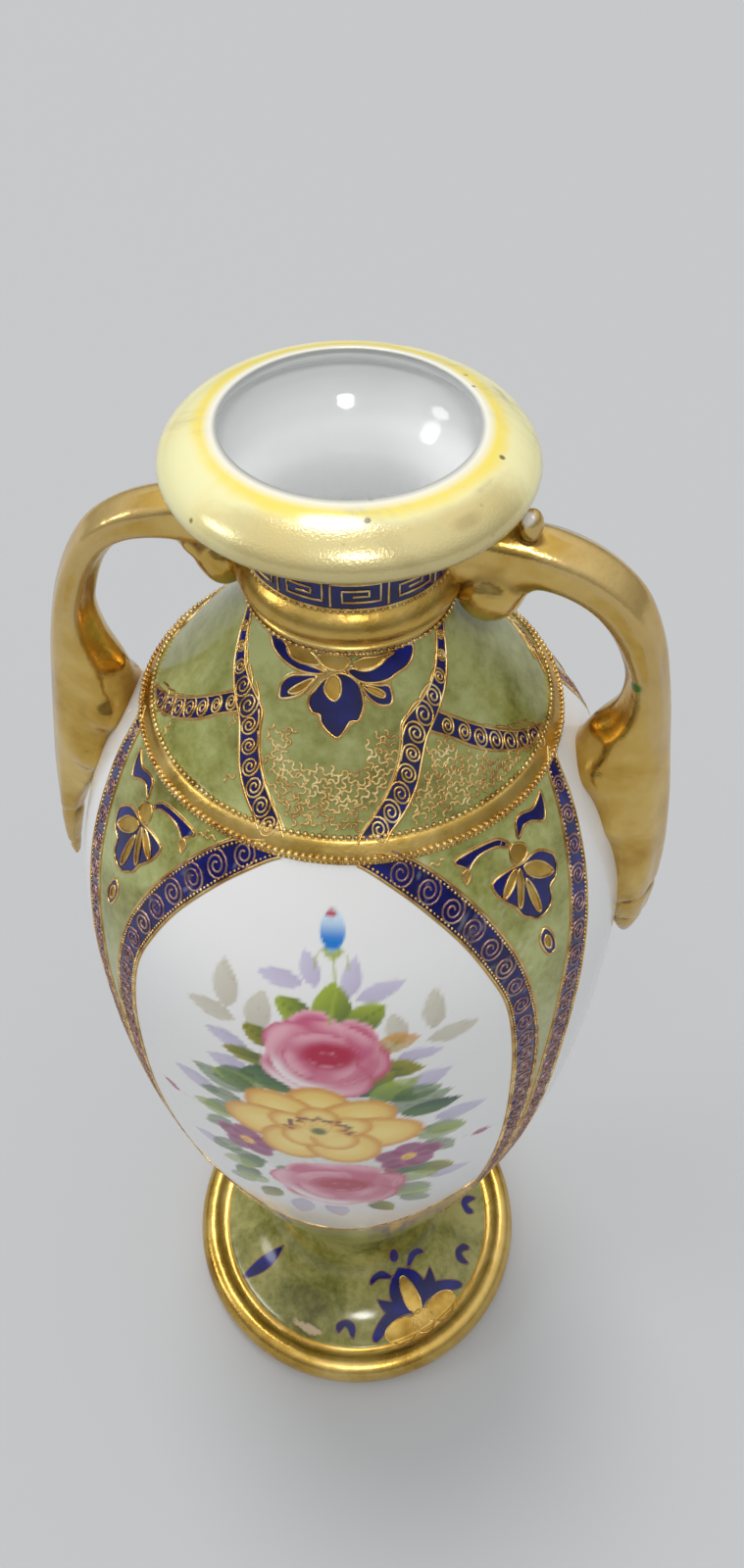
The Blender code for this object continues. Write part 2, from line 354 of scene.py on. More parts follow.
def raisedGold(name, shade=1.0, metal=1.0, tones="bright"):
    # Bright gold on raised slip, or the duller gold of the scrolls
    made, tree, shader = newMaterial(name, IOR=1.5, Metallic=metal)
    broad = noise(tree, 320.0, 3.0, 0.6)
    stops = [(place, tuple(shade * part for part in tone)) for place, tone in slipGolds[tones]]
    color = ramp(tree, broad, stops)
    tree.links.new(color, shader.inputs["Base Color"])
    tree.links.new(ranged(tree, broad, 0.3, 0.7, 0.22, 0.38), shader.inputs["Roughness"])
    bumped(tree, shader, noise(tree, 2400.0, 2.0), 0.00003, 0.5)
    return made


def lipGlaze(name):
    # Cream and yellow lip with rubbed greyish places, dark specks and a film of gold lustre in front, which
    # is also a painted sheen across the front of the roll
    made, tree, shader = newMaterial(name, IOR=1.5)
    mottle = noise(tree, 95.0, 4.0, 0.6, 0.5)
    color = mixed(tree, ranged(tree, mottle, 0.35, 0.7), glazes["creamLight"], glazes["creamWarm"])
    yellow = ranged(tree, added(tree, kept(tree, "edge"), multiplied(tree, mottle, 1.1)), 0.70, 1.50)
    color = mixed(tree, yellow, color, glazes["creamDeep"])
    grey = ranged(tree, noise(tree, 52.0, 6.0, 0.72, 0.8), 0.53, 0.70, 0.0, 0.6)
    color = mixed(tree, grey, color, glazes["lipGrey"])
    smudge = kept(tree, "smudge")
    rubbed = ranged(tree, added(tree, smudge, multiplied(tree, noise(tree, 330.0, 4.0, 0.7), 0.6)), 0.48,
                    1.12)
    color = mixed(tree, multiplied(tree, rubbed, 0.75), color, glazes["lipRubbed"])
    mouth = kept(tree, "mouth")
    color = mixed(tree, mouth, color, glazes["mouth"])
    specks = node(tree, "ShaderNodeTexVoronoi", {
        "Vector": node(tree, "ShaderNodeTexCoord").outputs["Object"], "Scale": 260.0, "Randomness": 1.0})
    dots = ranged(tree, specks.outputs["Distance"], 0.07, 0.13, 1.0, 0.0)
    few = ranged(tree, noise(tree, 75.0, 2.0), 0.49, 0.54)
    color = mixed(tree, multiplied(tree, multiplied(tree, dots, few), 0.85), color, glazes["speck"])
    # Gold lustre on the front of the lip, which also paints in the sheen of light lying there
    lustreSheenFilm = kept(tree, "lustreAndSheen")
    patchy = ranged(tree, added(tree, lustreSheenFilm, multiplied(tree, noise(tree, 130.0, 5.0, 0.65), 0.8)),
                    0.55, 1.25)
    color = mixed(tree, multiplied(tree, patchy, 0.60), color, glazes["sheenLustreColor"])
    tree.links.new(color, shader.inputs["Base Color"])
    tree.links.new(multiplied(tree, patchy, 0.45), shader.inputs["Metallic"])
    tree.links.new(ranged(tree, patchy, 0.0, 1.0, 0.13, 0.22), shader.inputs["Roughness"])
    grain = multiplied(tree, noise(tree, 3400.0, 1.0, 0.6), multiplied(tree, patchy, 0.5))
    bumped(tree, shader, added(tree, grain, multiplied(tree, mottle, 0.5)), 0.00009, 0.7)
    return made


def innerGlaze(name):
    made, tree, shader = newMaterial(name, IOR=1.5)
    color = mixed(tree, noise(tree, 40.0, 3.0), glazes["inside"], glazes["insideCool"])
    stain = ranged(tree, noise(tree, 130.0, 6.0, 0.72, 0.6), 0.66, 0.80, 0.0, 0.4)
    color = mixed(tree, stain, color, glazes["stain"])
    tree.links.new(color, shader.inputs["Base Color"])
    tree.links.new(ranged(tree, noise(tree, 120.0), 0.3, 0.7, 0.06, 0.12), shader.inputs["Roughness"])
    bumped(tree, shader, noise(tree, 150.0, 2.0), 0.00006, 0.4)
    return made


def clayFoot(name):
    # Unglazed ring under the foot
    made, tree, shader = newMaterial(name, IOR=1.5)
    color = mixed(tree, noise(tree, 220.0, 5.0), glazes["clay"], glazes["clayDark"])
    tree.links.new(color, shader.inputs["Base Color"])
    tree.links.new(ranged(tree, noise(tree, 400.0), 0.3, 0.7, 0.5, 0.8), shader.inputs["Roughness"])
    bumped(tree, shader, noise(tree, 1500.0, 3.0), 0.00008)
    return made


def keyBand(name):
    made, tree, shader = newMaterial(name, IOR=1.48)
    color = mixed(tree, ranged(tree, noise(tree, 240.0, 4.0), 0.35, 0.7), glazes["cobalt"],
                  glazes["cobaltLight"])
    tree.links.new(color, shader.inputs["Base Color"])
    tree.links.new(ranged(tree, noise(tree, 500.0), 0.3, 0.7, 0.10, 0.18), shader.inputs["Roughness"])
    return made


print("materials")
materials = {
    "body": paintedGlaze("paintedBody", white=True), "shoulder": paintedGlaze("paintedShoulder"),
    "foot": paintedGlaze("paintedFoot", tones=("footDark", "footGreen", "footPale"),
                         rimTone="outlineSoft"),
    "gilt": gilding("giltHandles", wear=0.62, rough=0.17, marks=True),
    "giltBand": gilding("giltBand", wear=0.2, rough=0.27), "raised": raisedGold("raisedGold"),
    "dim": raisedGold("scrollGold", shade=0.50, metal=0.7, tones="mauve"),
    "curl": raisedGold("curlGold", shade=0.95, metal=0.45),
    "lip": lipGlaze("creamLip"), "inner": innerGlaze("whiteInside"), "clay": clayFoot("bareClay"),
    "key": keyBand("cobaltNeck"),
}


# Geometry Nodes

def geometryTree(name, sizes):
    tree = bpy.data.node_groups.new(name, "GeometryNodeTree")
    tree.interface.new_socket("Geometry", in_out="INPUT", socket_type="NodeSocketGeometry")
    tree.interface.new_socket("Geometry", in_out="OUTPUT", socket_type="NodeSocketGeometry")
    for label, kind, value in sizes:
        socket = tree.interface.new_socket(label, in_out="INPUT", socket_type="NodeSocket" + kind)
        if kind != "Material":
            socket.default_value = value
    return tree, node(tree, "NodeGroupInput"), node(tree, "NodeGroupOutput")


def finishTree(tree, source, result, geometry):
    whole = node(tree, "GeometryNodeRealizeInstances", {"Geometry": geometry})
    painted = node(tree, "GeometryNodeSetMaterial", {
        "Geometry": whole.outputs[0], "Material": source.outputs["Material"]})
    tree.links.new(painted.outputs[0], result.inputs[0])
    return tree


def latheTree():
    # Turns the object's row of points about Z, with the columns crowded at the front and the back
    tree, source, result = geometryTree("turnedOnWheel", [
        ("Columns", "Int", 128), ("Crowding", "Float", 0.0), ("Material", "Material", None)])
    rows = node(tree, "GeometryNodeAttributeDomainSize", {"Geometry": source.outputs["Geometry"]})
    count = rows.outputs["Point Count"]
    columns = node(tree, "ShaderNodeMath", {0: source.outputs["Columns"], 1: 1.0}, operation="ADD")
    grid = node(tree, "GeometryNodeMeshGrid", {
        "Size X": 1.0, "Size Y": 1.0, "Vertices X": columns.outputs[0], "Vertices Y": count})
    place = node(tree, "ShaderNodeSeparateXYZ", {0: node(tree, "GeometryNodeInputPosition").outputs[0]})
    last = multiplied(tree, count, 1.0, "SUBTRACT")
    row = multiplied(tree, added(tree, place.outputs["Y"], 0.5), last)
    index = node(tree, "ShaderNodeMath", {0: row}, operation="ROUND")
    read = node(tree, "GeometryNodeSampleIndex", {
        "Geometry": source.outputs["Geometry"], "Value": node(tree, "GeometryNodeInputPosition").outputs[0],
        "Index": index.outputs[0]}, data_type="FLOAT_VECTOR")
    point = node(tree, "ShaderNodeSeparateXYZ", {0: read.outputs[0]})
    even = multiplied(tree, place.outputs["X"], tau)
    wave = node(tree, "ShaderNodeMath", {0: multiplied(tree, even, 2.0)}, operation="SINE")
    pull = multiplied(tree, multiplied(tree, wave.outputs[0], source.outputs["Crowding"]), 0.5)
    angle = multiplied(tree, even, pull, "SUBTRACT")
    sine = node(tree, "ShaderNodeMath", {0: angle}, operation="SINE")
    cosine = node(tree, "ShaderNodeMath", {0: angle}, operation="COSINE")
    away = multiplied(tree, point.outputs["X"], -1.0)
    spot = node(tree, "ShaderNodeCombineXYZ", {
        "X": multiplied(tree, point.outputs["X"], sine.outputs[0]),
        "Y": multiplied(tree, away, cosine.outputs[0]), "Z": point.outputs["Z"]})
    moved = node(tree, "GeometryNodeSetPosition", {"Geometry": grid.outputs[0], "Position": spot.outputs[0]})
    joined = node(tree, "GeometryNodeMergeByDistance", {"Geometry": moved.outputs[0], "Distance": 0.000002})
    return finishTree(tree, source, result, joined.outputs[0])


def lineTree():
    # Raised gold line along each curve
    tree, source, result = geometryTree("slipLine", [
        ("Radius", "Float", 0.0002), ("Sides", "Int", 5), ("Material", "Material", None)])
    ring = node(tree, "GeometryNodeCurvePrimitiveCircle", {
        "Resolution": source.outputs["Sides"], "Radius": source.outputs["Radius"]})
    tube = node(tree, "GeometryNodeCurveToMesh", {
        "Curve": source.outputs["Geometry"], "Profile Curve": ring.outputs[0], "Fill Caps": True})
    return finishTree(tree, source, result, tube.outputs[0])


def dotTree():
    # Row of slip dots along each curve
    tree, source, result = geometryTree("slipDots", [
        ("Spacing", "Float", 0.001), ("Radius", "Float", 0.0004), ("Material", "Material", None)])
    even = node(tree, "GeometryNodeResampleCurve", {
        "Curve": source.outputs["Geometry"], "Length": source.outputs["Spacing"]}, mode="LENGTH")
    points = node(tree, "GeometryNodeCurveToPoints", {"Curve": even.outputs[0]}, mode="EVALUATED")
    ball = node(tree, "GeometryNodeMeshUVSphere", {
        "Segments": 7, "Rings": 4, "Radius": source.outputs["Radius"]})
    size = node(tree, "FunctionNodeRandomValue", {2: 0.82, 3: 1.12, "Seed": 5}, data_type="FLOAT")
    copies = node(tree, "GeometryNodeInstanceOnPoints", {
        "Points": points.outputs[0], "Instance": ball.outputs[0], "Scale": size.outputs[1]})
    return finishTree(tree, source, result, copies.outputs[0])


trees = {"lathe": latheTree(), "line": lineTree(), "dots": dotTree()}


def applyTree(thing, tree, values):
    # Sets the tree's inputs by identifier, keeps the result as a plain mesh and drops the modifier
    step = thing.modifiers.new(tree.name, "NODES")
    step.node_group = tree
    for item in tree.interface.items_tree:
        if item.item_type == "SOCKET" and item.in_out == "INPUT" and item.name in values:
            step[item.identifier] = values[item.name]
    bpy.context.view_layer.update()
    graph = bpy.context.evaluated_depsgraph_get()
    mesh = bpy.data.meshes.new_from_object(thing.evaluated_get(graph))
    mesh.name = thing.name
    name = thing.name
    bpy.data.objects.remove(thing, do_unlink=True)
    made = addObject(name, mesh)
    return made


def faceOutwards(mesh):
    shape = bmesh.new()
    shape.from_mesh(mesh)
    bmesh.ops.recalc_face_normals(shape, faces=shape.faces)
    if shape.calc_volume(signed=True) < 0:
        bmesh.ops.reverse_faces(shape, faces=shape.faces)
    shape.to_mesh(mesh)
    shape.free()


def finishPiece(thing):
    thing.data.shade_smooth()
    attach(thing, "root")
    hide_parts("vase")
    print("piece", thing.name, sum(len(face.vertices) - 2 for face in thing.data.polygons), "triangles")


def turnedPiece(name, outline, columns, crowding, material):
    mesh = bpy.data.meshes.new(name + "Row")
    mesh.from_pydata([(radius, 0.0, z) for radius, z in outline],
                     [(k, k + 1) for k in range(len(outline) - 1)], [])
    thing = addObject(name, mesh)
    made = applyTree(thing, trees["lathe"], {"Columns": columns, "Crowding": crowding, "Material": material})
    faceOutwards(made.data)
    return made


def curveObject(name, lines):
    # Lines are (points, closed, thickness)
    data = bpy.data.curves.new(name, "CURVE")
    data.dimensions = "3D"
    for points, closed, thickness in lines:
        spline = data.splines.new("POLY")
        spline.points.add(len(points) - 1)
        spline.points.foreach_set("co", [x for p in points for x in (*p, 1.0)])
        spline.points.foreach_set("radius", [thickness] * len(points))
        spline.use_cyclic_u = closed
    thing = addObject(name, data)
    return thing


# Patterns in angle and level, shared by the flat paint and the raised gold

panels = {
    "frontWhite": [(0, 197.6), (9.5, 197.2), (18.5, 194.3), (25.5, 190.6), (31.5, 185.8), (36, 179.8),
                   (39, 173.5), (40.4, 164), (41.5, 152), (42.6, 135), (43.2, 112), (42.4, 80),
                   (40, 46)],
    "frontBlue": [(14, 198.6), (21, 197.6), (28.5, 194.8), (35, 190.4), (39.6, 185.4), (43, 179.4),
                  (45, 172.5), (46.6, 163.5), (47.8, 152), (48.4, 135), (48.6, 112), (47.8, 80),
                  (45.4, 46)],
    "sideWhite": [(0, 198.4), (13, 197.4), (17.5, 192.4), (22, 186), (26.8, 177), (30, 169.8),
                  (32.4, 160), (33.4, 149), (33.8, 135), (33.9, 112), (33.4, 80), (31.8, 46)],
    "sideBlue": [(15.5, 199), (19.5, 197.4), (23.5, 193), (28.6, 186), (34, 176), (37.6, 168),
                 (39.4, 158), (40.2, 148), (40.5, 135), (40.6, 112), (40, 80), (38, 46)],
    "centres": {"front": (0, 180), "side": (90, -90)},
}
shoulderField = {
    "inner": [(9.5, 199.4), (11.6, 200.6), (15.2, 202.2), (19.6, 204.1), (23.6, 206.2), (26.2, 208),
              (28.6, 209.8), (38, 211.2), (46, 212.4), (53.5, 214.2), (60, 216.4)],
    "outer": [(16.5, 199.4), (19, 200.4), (23.4, 202), (28, 204), (31.8, 206.2), (36, 208),
              (44, 209.8), (51.8, 211.6), (60, 214), (67, 216.6)],
    "crossLow": [(37.5, 208.3), (44.6, 206.8), (52, 204.6), (61, 202.4), (70, 200.6)],
    "crossHigh": [(43.6, 209.6), (52, 207.4), (60, 205.2), (69.5, 202.6), (80, 200.4)],
}


def panelEdges(kind):
    white = smooth(panels[kind + "White"], 6)
    blue = smooth(panels[kind + "Blue"], 6)
    return white, blue


def bandShapes():
    # Whites and cobalt bands of the four body panels
    whites = []
    blues = []
    for kind in ("front", "side"):
        white, blue = panelEdges(kind)
        for centre in panels["centres"][kind]:
            whites.append(shifted([(-a, z) for a, z in reversed(white)] + white, panelTurn + centre))
            for side in (-1, 1):
                inner = [p for p in white if p[0] > 8.0]
                blues.append(shifted(inner + list(reversed(blue)), panelTurn + centre, side))
    return whites, blues


def shoulderShapes():
    inner = smooth(shoulderField["inner"], 4)
    outer = smooth(shoulderField["outer"], 4)
    low = smooth(shoulderField["crossLow"], 4)
    high = smooth(shoulderField["crossHigh"], 4)
    blues = []
    for centre in (0.0, 180.0):
        for side in (-1, 1):
            blues.append(shifted(inner + list(reversed(outer)), panelTurn + centre, side))
            blues.append(shifted(low + list(reversed(high)), panelTurn + centre, side))
    return blues


palmette = {
    "centre": 1.8,
    "leftWing": [(-41.6, 216.9), (-37.4, 215.7), (-31.8, 215.1), (-25.3, 214.7), (-17.7, 214.5),
                 (-10.2, 214.6),
                 (-6.2, 214.8), (-8.5, 215.1), (-16, 215.3), (-20.5, 215.4), (-25.8, 215.7), (-28.8, 216.4),
                 (-34.2, 217)],
    "rightWing": [(4.8, 215.2), (7.3, 214.6), (11.8, 214.1), (17.8, 213.9), (24.1, 214), (28.6, 214.4),
                  (34, 214.7), (38.6, 215.4), (40.6, 216.6), (35.5, 217), (26.5, 216.8), (24, 216),
                  (17.7, 215.3), (12.1, 215.2), (7.2, 215.5)],
    "heart": [(-1, 214.9), (-6.6, 214.1), (-9.6, 213.1), (-11.6, 212.4), (-11.4, 211.6), (-9.2, 211),
              (-6.3, 210.9), (-5.3, 210.2), (-2.4, 209.5), (1.4, 209), (4.3, 209.8), (6.1, 210.5),
              (9.3, 210.6), (11.4, 211.7), (11.5, 212.6), (10.3, 213.7), (7.3, 214.5), (3.4, 214.9)],
    "leftLeaf": [(-10.1, 214.4), (-16.5, 214.2), (-22.7, 213.7), (-25.6, 212.8), (-25.4, 212), (-24.2, 211.4),
                 (-19.6, 211.8), (-15.1, 212.5), (-12.2, 213.5)],
    "rightLeaf": [(9.6, 214.2), (13.3, 213.9), (19.2, 213.6), (23.6, 213.4), (24.3, 212.4), (23, 211.7),
                  (18.2, 211.8), (14.3, 212.5), (11.4, 213.5)],
    "golds": [
        [(-28.6, 216.3), (-25.8, 215.6), (-20.5, 215.3), (-13.5, 215.4), (-9.4, 215.6), (-12, 216.3),
         (-17.5, 216.9),
         (-24.4, 216.9)],
        [(-11.2, 216.4), (-7.5, 215.5), (-1.6, 215.2), (3.2, 215.4), (6.2, 216.4), (0.4, 216.9),
         (-7.3, 216.8)],
        [(7.4, 215.9), (12.1, 215.4), (17.7, 215.4), (23, 216), (29.5, 216.6), (19, 216.5), (12.2, 216.5)],
        [(-2.9, 214.7), (-5.8, 213.5), (-4.1, 212.7), (-0.6, 212.3), (1.9, 213.1), (0.9, 214.4)],
        [(-11.5, 214.1), (-17.7, 213.2), (-21.6, 212.2), (-18, 212.3), (-13.6, 213.1)],
        [(11.7, 213.8), (15.9, 212.9), (20.3, 212.4), (21.2, 212.8), (17.6, 213.4)],
    ],
}


def palmetteShapes(centre):
    middle = centre + palmette["centre"]
    keys = ("leftWing", "rightWing", "heart", "leftLeaf", "rightLeaf")
    blues = [shifted(smooth(palmette[key], 3, True), middle) for key in keys]
    golds = [shifted(smooth(outline, 3, True), middle) for outline in palmette["golds"]]
    return blues, golds


fan = {
    "blues": [
        [(-1.4, 191.7), (-4.8, 191.9), (-9.3, 191.5), (-8.6, 189.7), (-6.8, 188.3), (-5.3, 187.3),
         (-4.3, 185.9),
         (-2.6, 185), (-0.9, 184.1), (1.3, 183.9), (3.2, 184.3), (4.4, 185.3), (4.7, 186.6), (6.9, 187),
         (8.3, 188), (8.8, 189.4), (7.6, 190.4), (5.5, 191.4), (3.1, 191.7), (0.5, 191.6)],
        [(-1.7, 194.4), (-3.7, 195.5), (-6.6, 195.9), (-11.7, 196), (-17, 195.6), (-14.8, 194.6),
         (-14.1, 194.1),
         (-11.9, 194.9), (-8.7, 195.2), (-5, 195), (-2.9, 194.4)],
        [(1.2, 194.3), (1.7, 195.4), (2.7, 196.2), (5.1, 196.3), (8.8, 195.8), (12, 196.2), (13.8, 196.5),
         (13, 195.2), (11.2, 193.9), (9.7, 193.9), (7.1, 194.8), (4.1, 195.1)],
        [(0.6, 181.9), (-1.3, 181.2), (-1.2, 179.6), (0.1, 177.6), (1.9, 177.6), (2.3, 179.4)],
    ],
    "golds": [
        [(-2.4, 191.5), (-4.6, 191.2), (-7, 190), (-7.5, 189), (-5.4, 189.4), (-3.2, 190.5)],
        [(-1.6, 191.3), (-3.2, 189.8), (-4.5, 187.5), (-4.1, 186.8), (-2.9, 187.9), (-1.5, 190)],
        [(-0.7, 189.7), (-1.2, 187.8), (-0.6, 185.4), (0.4, 184.6), (0.9, 185.9), (0.4, 188.3)],
        [(-0.2, 191.2), (2.9, 190.9), (5.4, 189.8), (7, 187.9), (3.7, 188.3), (0.6, 189.7)],
        [(-2.5, 193.6), (-1.1, 194.2), (0.8, 193.9), (2.3, 193.2), (2, 192.3), (0.2, 191.8), (-1.7, 191.9),
         (-2.8, 192.6)],
        [(-14.3, 194.3), (-15.8, 194), (-15.6, 193.2), (-15.3, 192.7), (-13.7, 193.7)],
        [(0.5, 180.8), (-0.5, 180.3), (-0.2, 179.1), (0.8, 178.4), (1.3, 179.6)],
    ],
    "places": (50, -50, 130, -130),
}


def fanShapes(place):
    side = 1 if place in (50.0, -130.0) else -1
    middle = panelTurn + place
    blues = [shifted(smooth(outline, 3, True), middle, side) for outline in fan["blues"]]
    golds = [shifted(smooth(outline, 3, True), middle, side) for outline in fan["golds"]]
    return blues, golds


footMotif = {
    "places": (41, 139, -139),
    "flame": [(0, 19.6), (5, 20.6), (9.5, 22), (11, 24.5), (8, 26.6), (14, 26.4), (20, 28.2),
              (24, 31), (23, 32.4), (19, 31), (14, 28.8), (6, 28.4), (0, 29.6)],
    "leaf": [(0, 21.2), (2.6, 24), (3.3, 27.4), (1.8, 31), (0, 33.2)],
}


def footShapes():
    blues = []
    golds = []
    half = smooth(footMotif["flame"], 3)
    for middle in footMotif["places"]:
        blues.append(shifted(symmetric(half), middle))
        golds.append(shifted(ellipse(0.0, 25.4, 4.4, 4.2), middle))
        blues.append(ellipse(middle, 17.6, 3.6, 0.9))
        for side in (-1, 1):
            golds.append(shifted(ellipse(10.2, 31.4, 8.2, 2.7), middle, side))
            blues.append(shifted(petal((8.0, 27.6), (19.0, 23.6), (0.9, 0.06)), middle, side))
            blues.append(shifted(smooth([(6.0, 20.6), (12.0, 18.9), (20.0, 19.4), (22.0, 20.8), (16.0, 20.0),
                                         (10.0, 20.4)], 3, True), middle, side))
            blues.append(shifted(smooth([(33.0, 31.4), (32.0, 28.6), (36.0, 27.2), (41.0, 28.4), (40.0, 30.4),
                                         (37.0, 28.6), (35.0, 29.4)], 3, True), middle, side))
        golds.append(shifted(ellipse(0.0, 31.6, 5.0, 2.7), middle))
    leaf = smooth(footMotif["leaf"], 4)
    for middle in (-50.0, 180.0):
        blues.append(shifted(symmetric(leaf), middle))
    return blues, golds


def outline3d(outline, place, lift):
    return [place(a, level, lift) for a, level in outline]

def outlined(shapes, lift, thickness, place=onBody):
    # Closed gold line round each shape
    return [(outline3d(outline, place, lift), True, thickness) for outline in shapes]


# Signed distance from painted outlines, in millimetres, kept on the points of a piece

maskPiece = {"reach": 1.6, "margin": 8.0}


def paintMask(mesh, name, outlines, place, levels, angles, points, chosen):
    reach = maskPiece["reach"]
    result = np.full(len(points), reach)
    for outline in outlines:
        flat = np.array(outline, float)
        ring = np.array([place(a, level, 0.0) for a, level in outline], float) / mm
        middle = (flat[:, 0].min() + flat[:, 0].max()) / 2
        turned = (angles - middle + 180.0) % 360.0 - 180.0
        flatTurn = flat[:, 0] - middle
        near = chosen & (levels > flat[:, 1].min() - reach) & (levels < flat[:, 1].max() + reach)
        near &= np.abs(turned) < np.abs(flatTurn).max() + maskPiece["margin"]
        where = np.nonzero(near)[0]
        if not len(where):
            continue
        spots = points[where]
        best = np.full(len(where), reach)
        inside = np.zeros(len(where), bool)
        x = turned[where]
        y = levels[where]
        for k in range(len(flat)):
            a = ring[k - 1]
            b = ring[k]
            edge = b - a
            length = max(float(edge @ edge), 1e-9)
            share = np.clip(((spots - a) @ edge) / length, 0, 1)
            gap = np.linalg.norm(spots - (a + share[:, None] * edge), axis=1)
            best = np.minimum(best, gap)
            x0, y0 = flatTurn[k - 1], flat[k - 1, 1]
            x1, y1 = flatTurn[k], flat[k, 1]
            crossed = (y0 > y) != (y1 > y)
            rise = y1 - y0 if abs(y1 - y0) > 1e-9 else 1e-9
            inside ^= crossed & (x < x0 + (y - y0) * (x1 - x0) / rise)
        signed = np.where(inside, -best, best)
        result[where] = np.minimum(result[where], signed)
    keepValues(mesh, name, result)


def meshPoints(mesh):
    flat = np.empty(len(mesh.vertices) * 3, np.float64)
    mesh.vertices.foreach_get("co", flat)
    points = flat.reshape(-1, 3) / mm
    angles = np.degrees(np.arctan2(points[:, 0], -points[:, 1]))
    return points, angles


def outsideOnly(points, slack=0.6):
    radii = np.hypot(points[:, 0], points[:, 1])
    shell = np.array([bodyRadiusAt(z * mm) / mm for z in points[:, 2]])
    return radii > shell - slack


# The painted bouquets, brushed on the points of the body in millimetres of arc and height

class Picture:
    def __init__(self, points, angles, chosen, centre):
        turned = (angles - centre + 180.0) % 360.0 - 180.0
        self.where = np.nonzero(chosen & (np.abs(turned) < 46) & (points[:, 2] > 96) & (points[:,
                                                                                               2] < 197))[0]
        self.x = turned[self.where] * math.radians(1) * vaseShape["bodyRadius"] / mm
        self.y = points[self.where, 2]
        self.color = np.tile(np.array(glazes["white"], float), (len(self.where), 1))
        self.cover = np.zeros(len(self.where))

    def lay(self, alpha, color):
        alpha = np.clip(alpha, 0, 1)
        self.color += (np.asarray(color) - self.color) * alpha[:, None]
        self.cover += (1 - self.cover) * alpha

    def local(self, x, y, lean):
        turn = math.radians(lean)
        dx = self.x - x
        dy = self.y - y
        return dx * math.cos(turn) + dy * math.sin(turn), -dx * math.sin(turn) + dy * math.cos(turn)


def softStep(value, low, high):
    t = np.clip((value - low) / (high - low), 0, 1)
    return t * t * (3 - 2 * t)


def fade(first, second, share):
    share = np.clip(share, 0, 1)[:, None]
    return np.asarray(first) * (1 - share) + np.asarray(second) * share


def brushLeaf(picture, x, y, lean, length, width, dark, light, alpha=1.0, vein=True):
    # Leaf from its stem at x, y, darker at the stem and along one side
    soft = 0.35
    along, across = picture.local(x, y, lean)
    t = along / length
    swell = np.where((t > 0) & (t < 1), np.sin(np.pi * np.clip(t, 0, 1) ** 0.85) ** 0.72, 0)
    edge = width / 2 * swell - np.abs(across)
    body = softStep(edge, -soft * 0.4, soft) * alpha
    tone = fade(dark, light, t * 0.75 + 0.25 + across / width * 0.7)
    picture.lay(body, tone)
    if vein:
        line = softStep(0.22 - np.abs(across), 0, 0.16) * softStep(edge, 0, 0.4) * (t < 0.85)
        picture.lay(line * 0.45 * alpha, dark)


def brushPetal(picture, x, y, lean, length, width, middle, edgeColor, alpha=1.0, rim=0.9, soft=0.3):
    # Rounded petal with a pale middle and a stronger edge
    along, across = picture.local(x, y, lean)
    u = along / (length / 2) - 1
    v = across / (width / 2)
    round_ = np.sqrt(u * u + v * v)
    distance = (1 - round_) * min(length, width) / 2
    body = softStep(distance, -soft * 0.4, soft) * alpha
    tone = fade(edgeColor, middle, softStep(distance, 0.0, rim * 1.6) * (0.5 + 0.5 * softStep(u, -1.0, 0.2)))
    picture.lay(body, tone)


def brushArc(picture, x, y, radius, thick, start, end, color, alpha=0.8, squash=1.0):
    # Crescent stroke, crisp outside and fading inwards
    dx = picture.x - x
    dy = (picture.y - y) / squash
    distance = np.hypot(dx, dy)
    turn = (np.degrees(np.arctan2(dy, dx)) - start) % 360.0
    span = (end - start) % 360.0
    ends = softStep(turn, 0, span * 0.3) * (1 - softStep(turn, span * 0.7, span)) * (turn < span)
    outer = softStep(radius - distance, -0.12, 0.22)
    inner = softStep(distance, radius - thick, radius - thick * 0.15)
    picture.lay(outer * inner * ends * alpha, color)


def brushDot(picture, x, y, radius, color, alpha=1.0, soft=0.25, tall=1.0):
    distance = np.hypot(picture.x - x, (picture.y - y) / tall)
    picture.lay(softStep(radius - distance, -soft, soft) * alpha, color)


def brushStem(picture, points, width, color, alpha=0.9):
    line = smooth(points, 6)
    best = np.full(len(picture.x), 9.0)
    for (x0, y0), (x1, y1) in zip(line, line[1:]):
        run = max((x1 - x0) ** 2 + (y1 - y0) ** 2, 1e-6)
        share = np.clip(((picture.x - x0) * (x1 - x0) + (picture.y - y0) * (y1 - y0)) / run, 0, 1)
        best = np.minimum(best, np.hypot(picture.x - x0 - share * (x1 - x0),
                                         picture.y - y0 - share * (y1 - y0)))
    picture.lay(softStep(width / 2 - best, -0.14, 0.14) * alpha, color)


paints = {
    "rose": (0.54, 0.10, 0.20), "rosePale": (0.76, 0.40, 0.48), "roseDeep": (0.42, 0.006, 0.05),
    "roseWhite": (0.84, 0.73, 0.75), "yellow": (0.80, 0.52, 0.085), "yellowPale": (0.86, 0.67, 0.22),
    "orange": (0.64, 0.27, 0.014), "stamen": (0.12, 0.008, 0.03), "leafLight": (0.33, 0.41, 0.045),
    "leafDark": (0.028, 0.075, 0.012), "leafMid": (0.11, 0.21, 0.045), "teal": (0.010, 0.060, 0.045),
    "olive": (0.30, 0.28, 0.025), "lavender": (0.45, 0.40, 0.62), "lavenderDeep": (0.29, 0.23, 0.48),
    "beige": (0.50, 0.46, 0.34), "beigeDeep": (0.37, 0.32, 0.20), "plum": (0.23, 0.018, 0.11),
    "plumPale": (0.40, 0.10, 0.27), "blue": (0.02, 0.19, 0.60), "bluePale": (0.55, 0.70, 0.82),
    "red": (0.45, 0.01, 0.05), "shadow": (0.26, 0.31, 0.12),
}


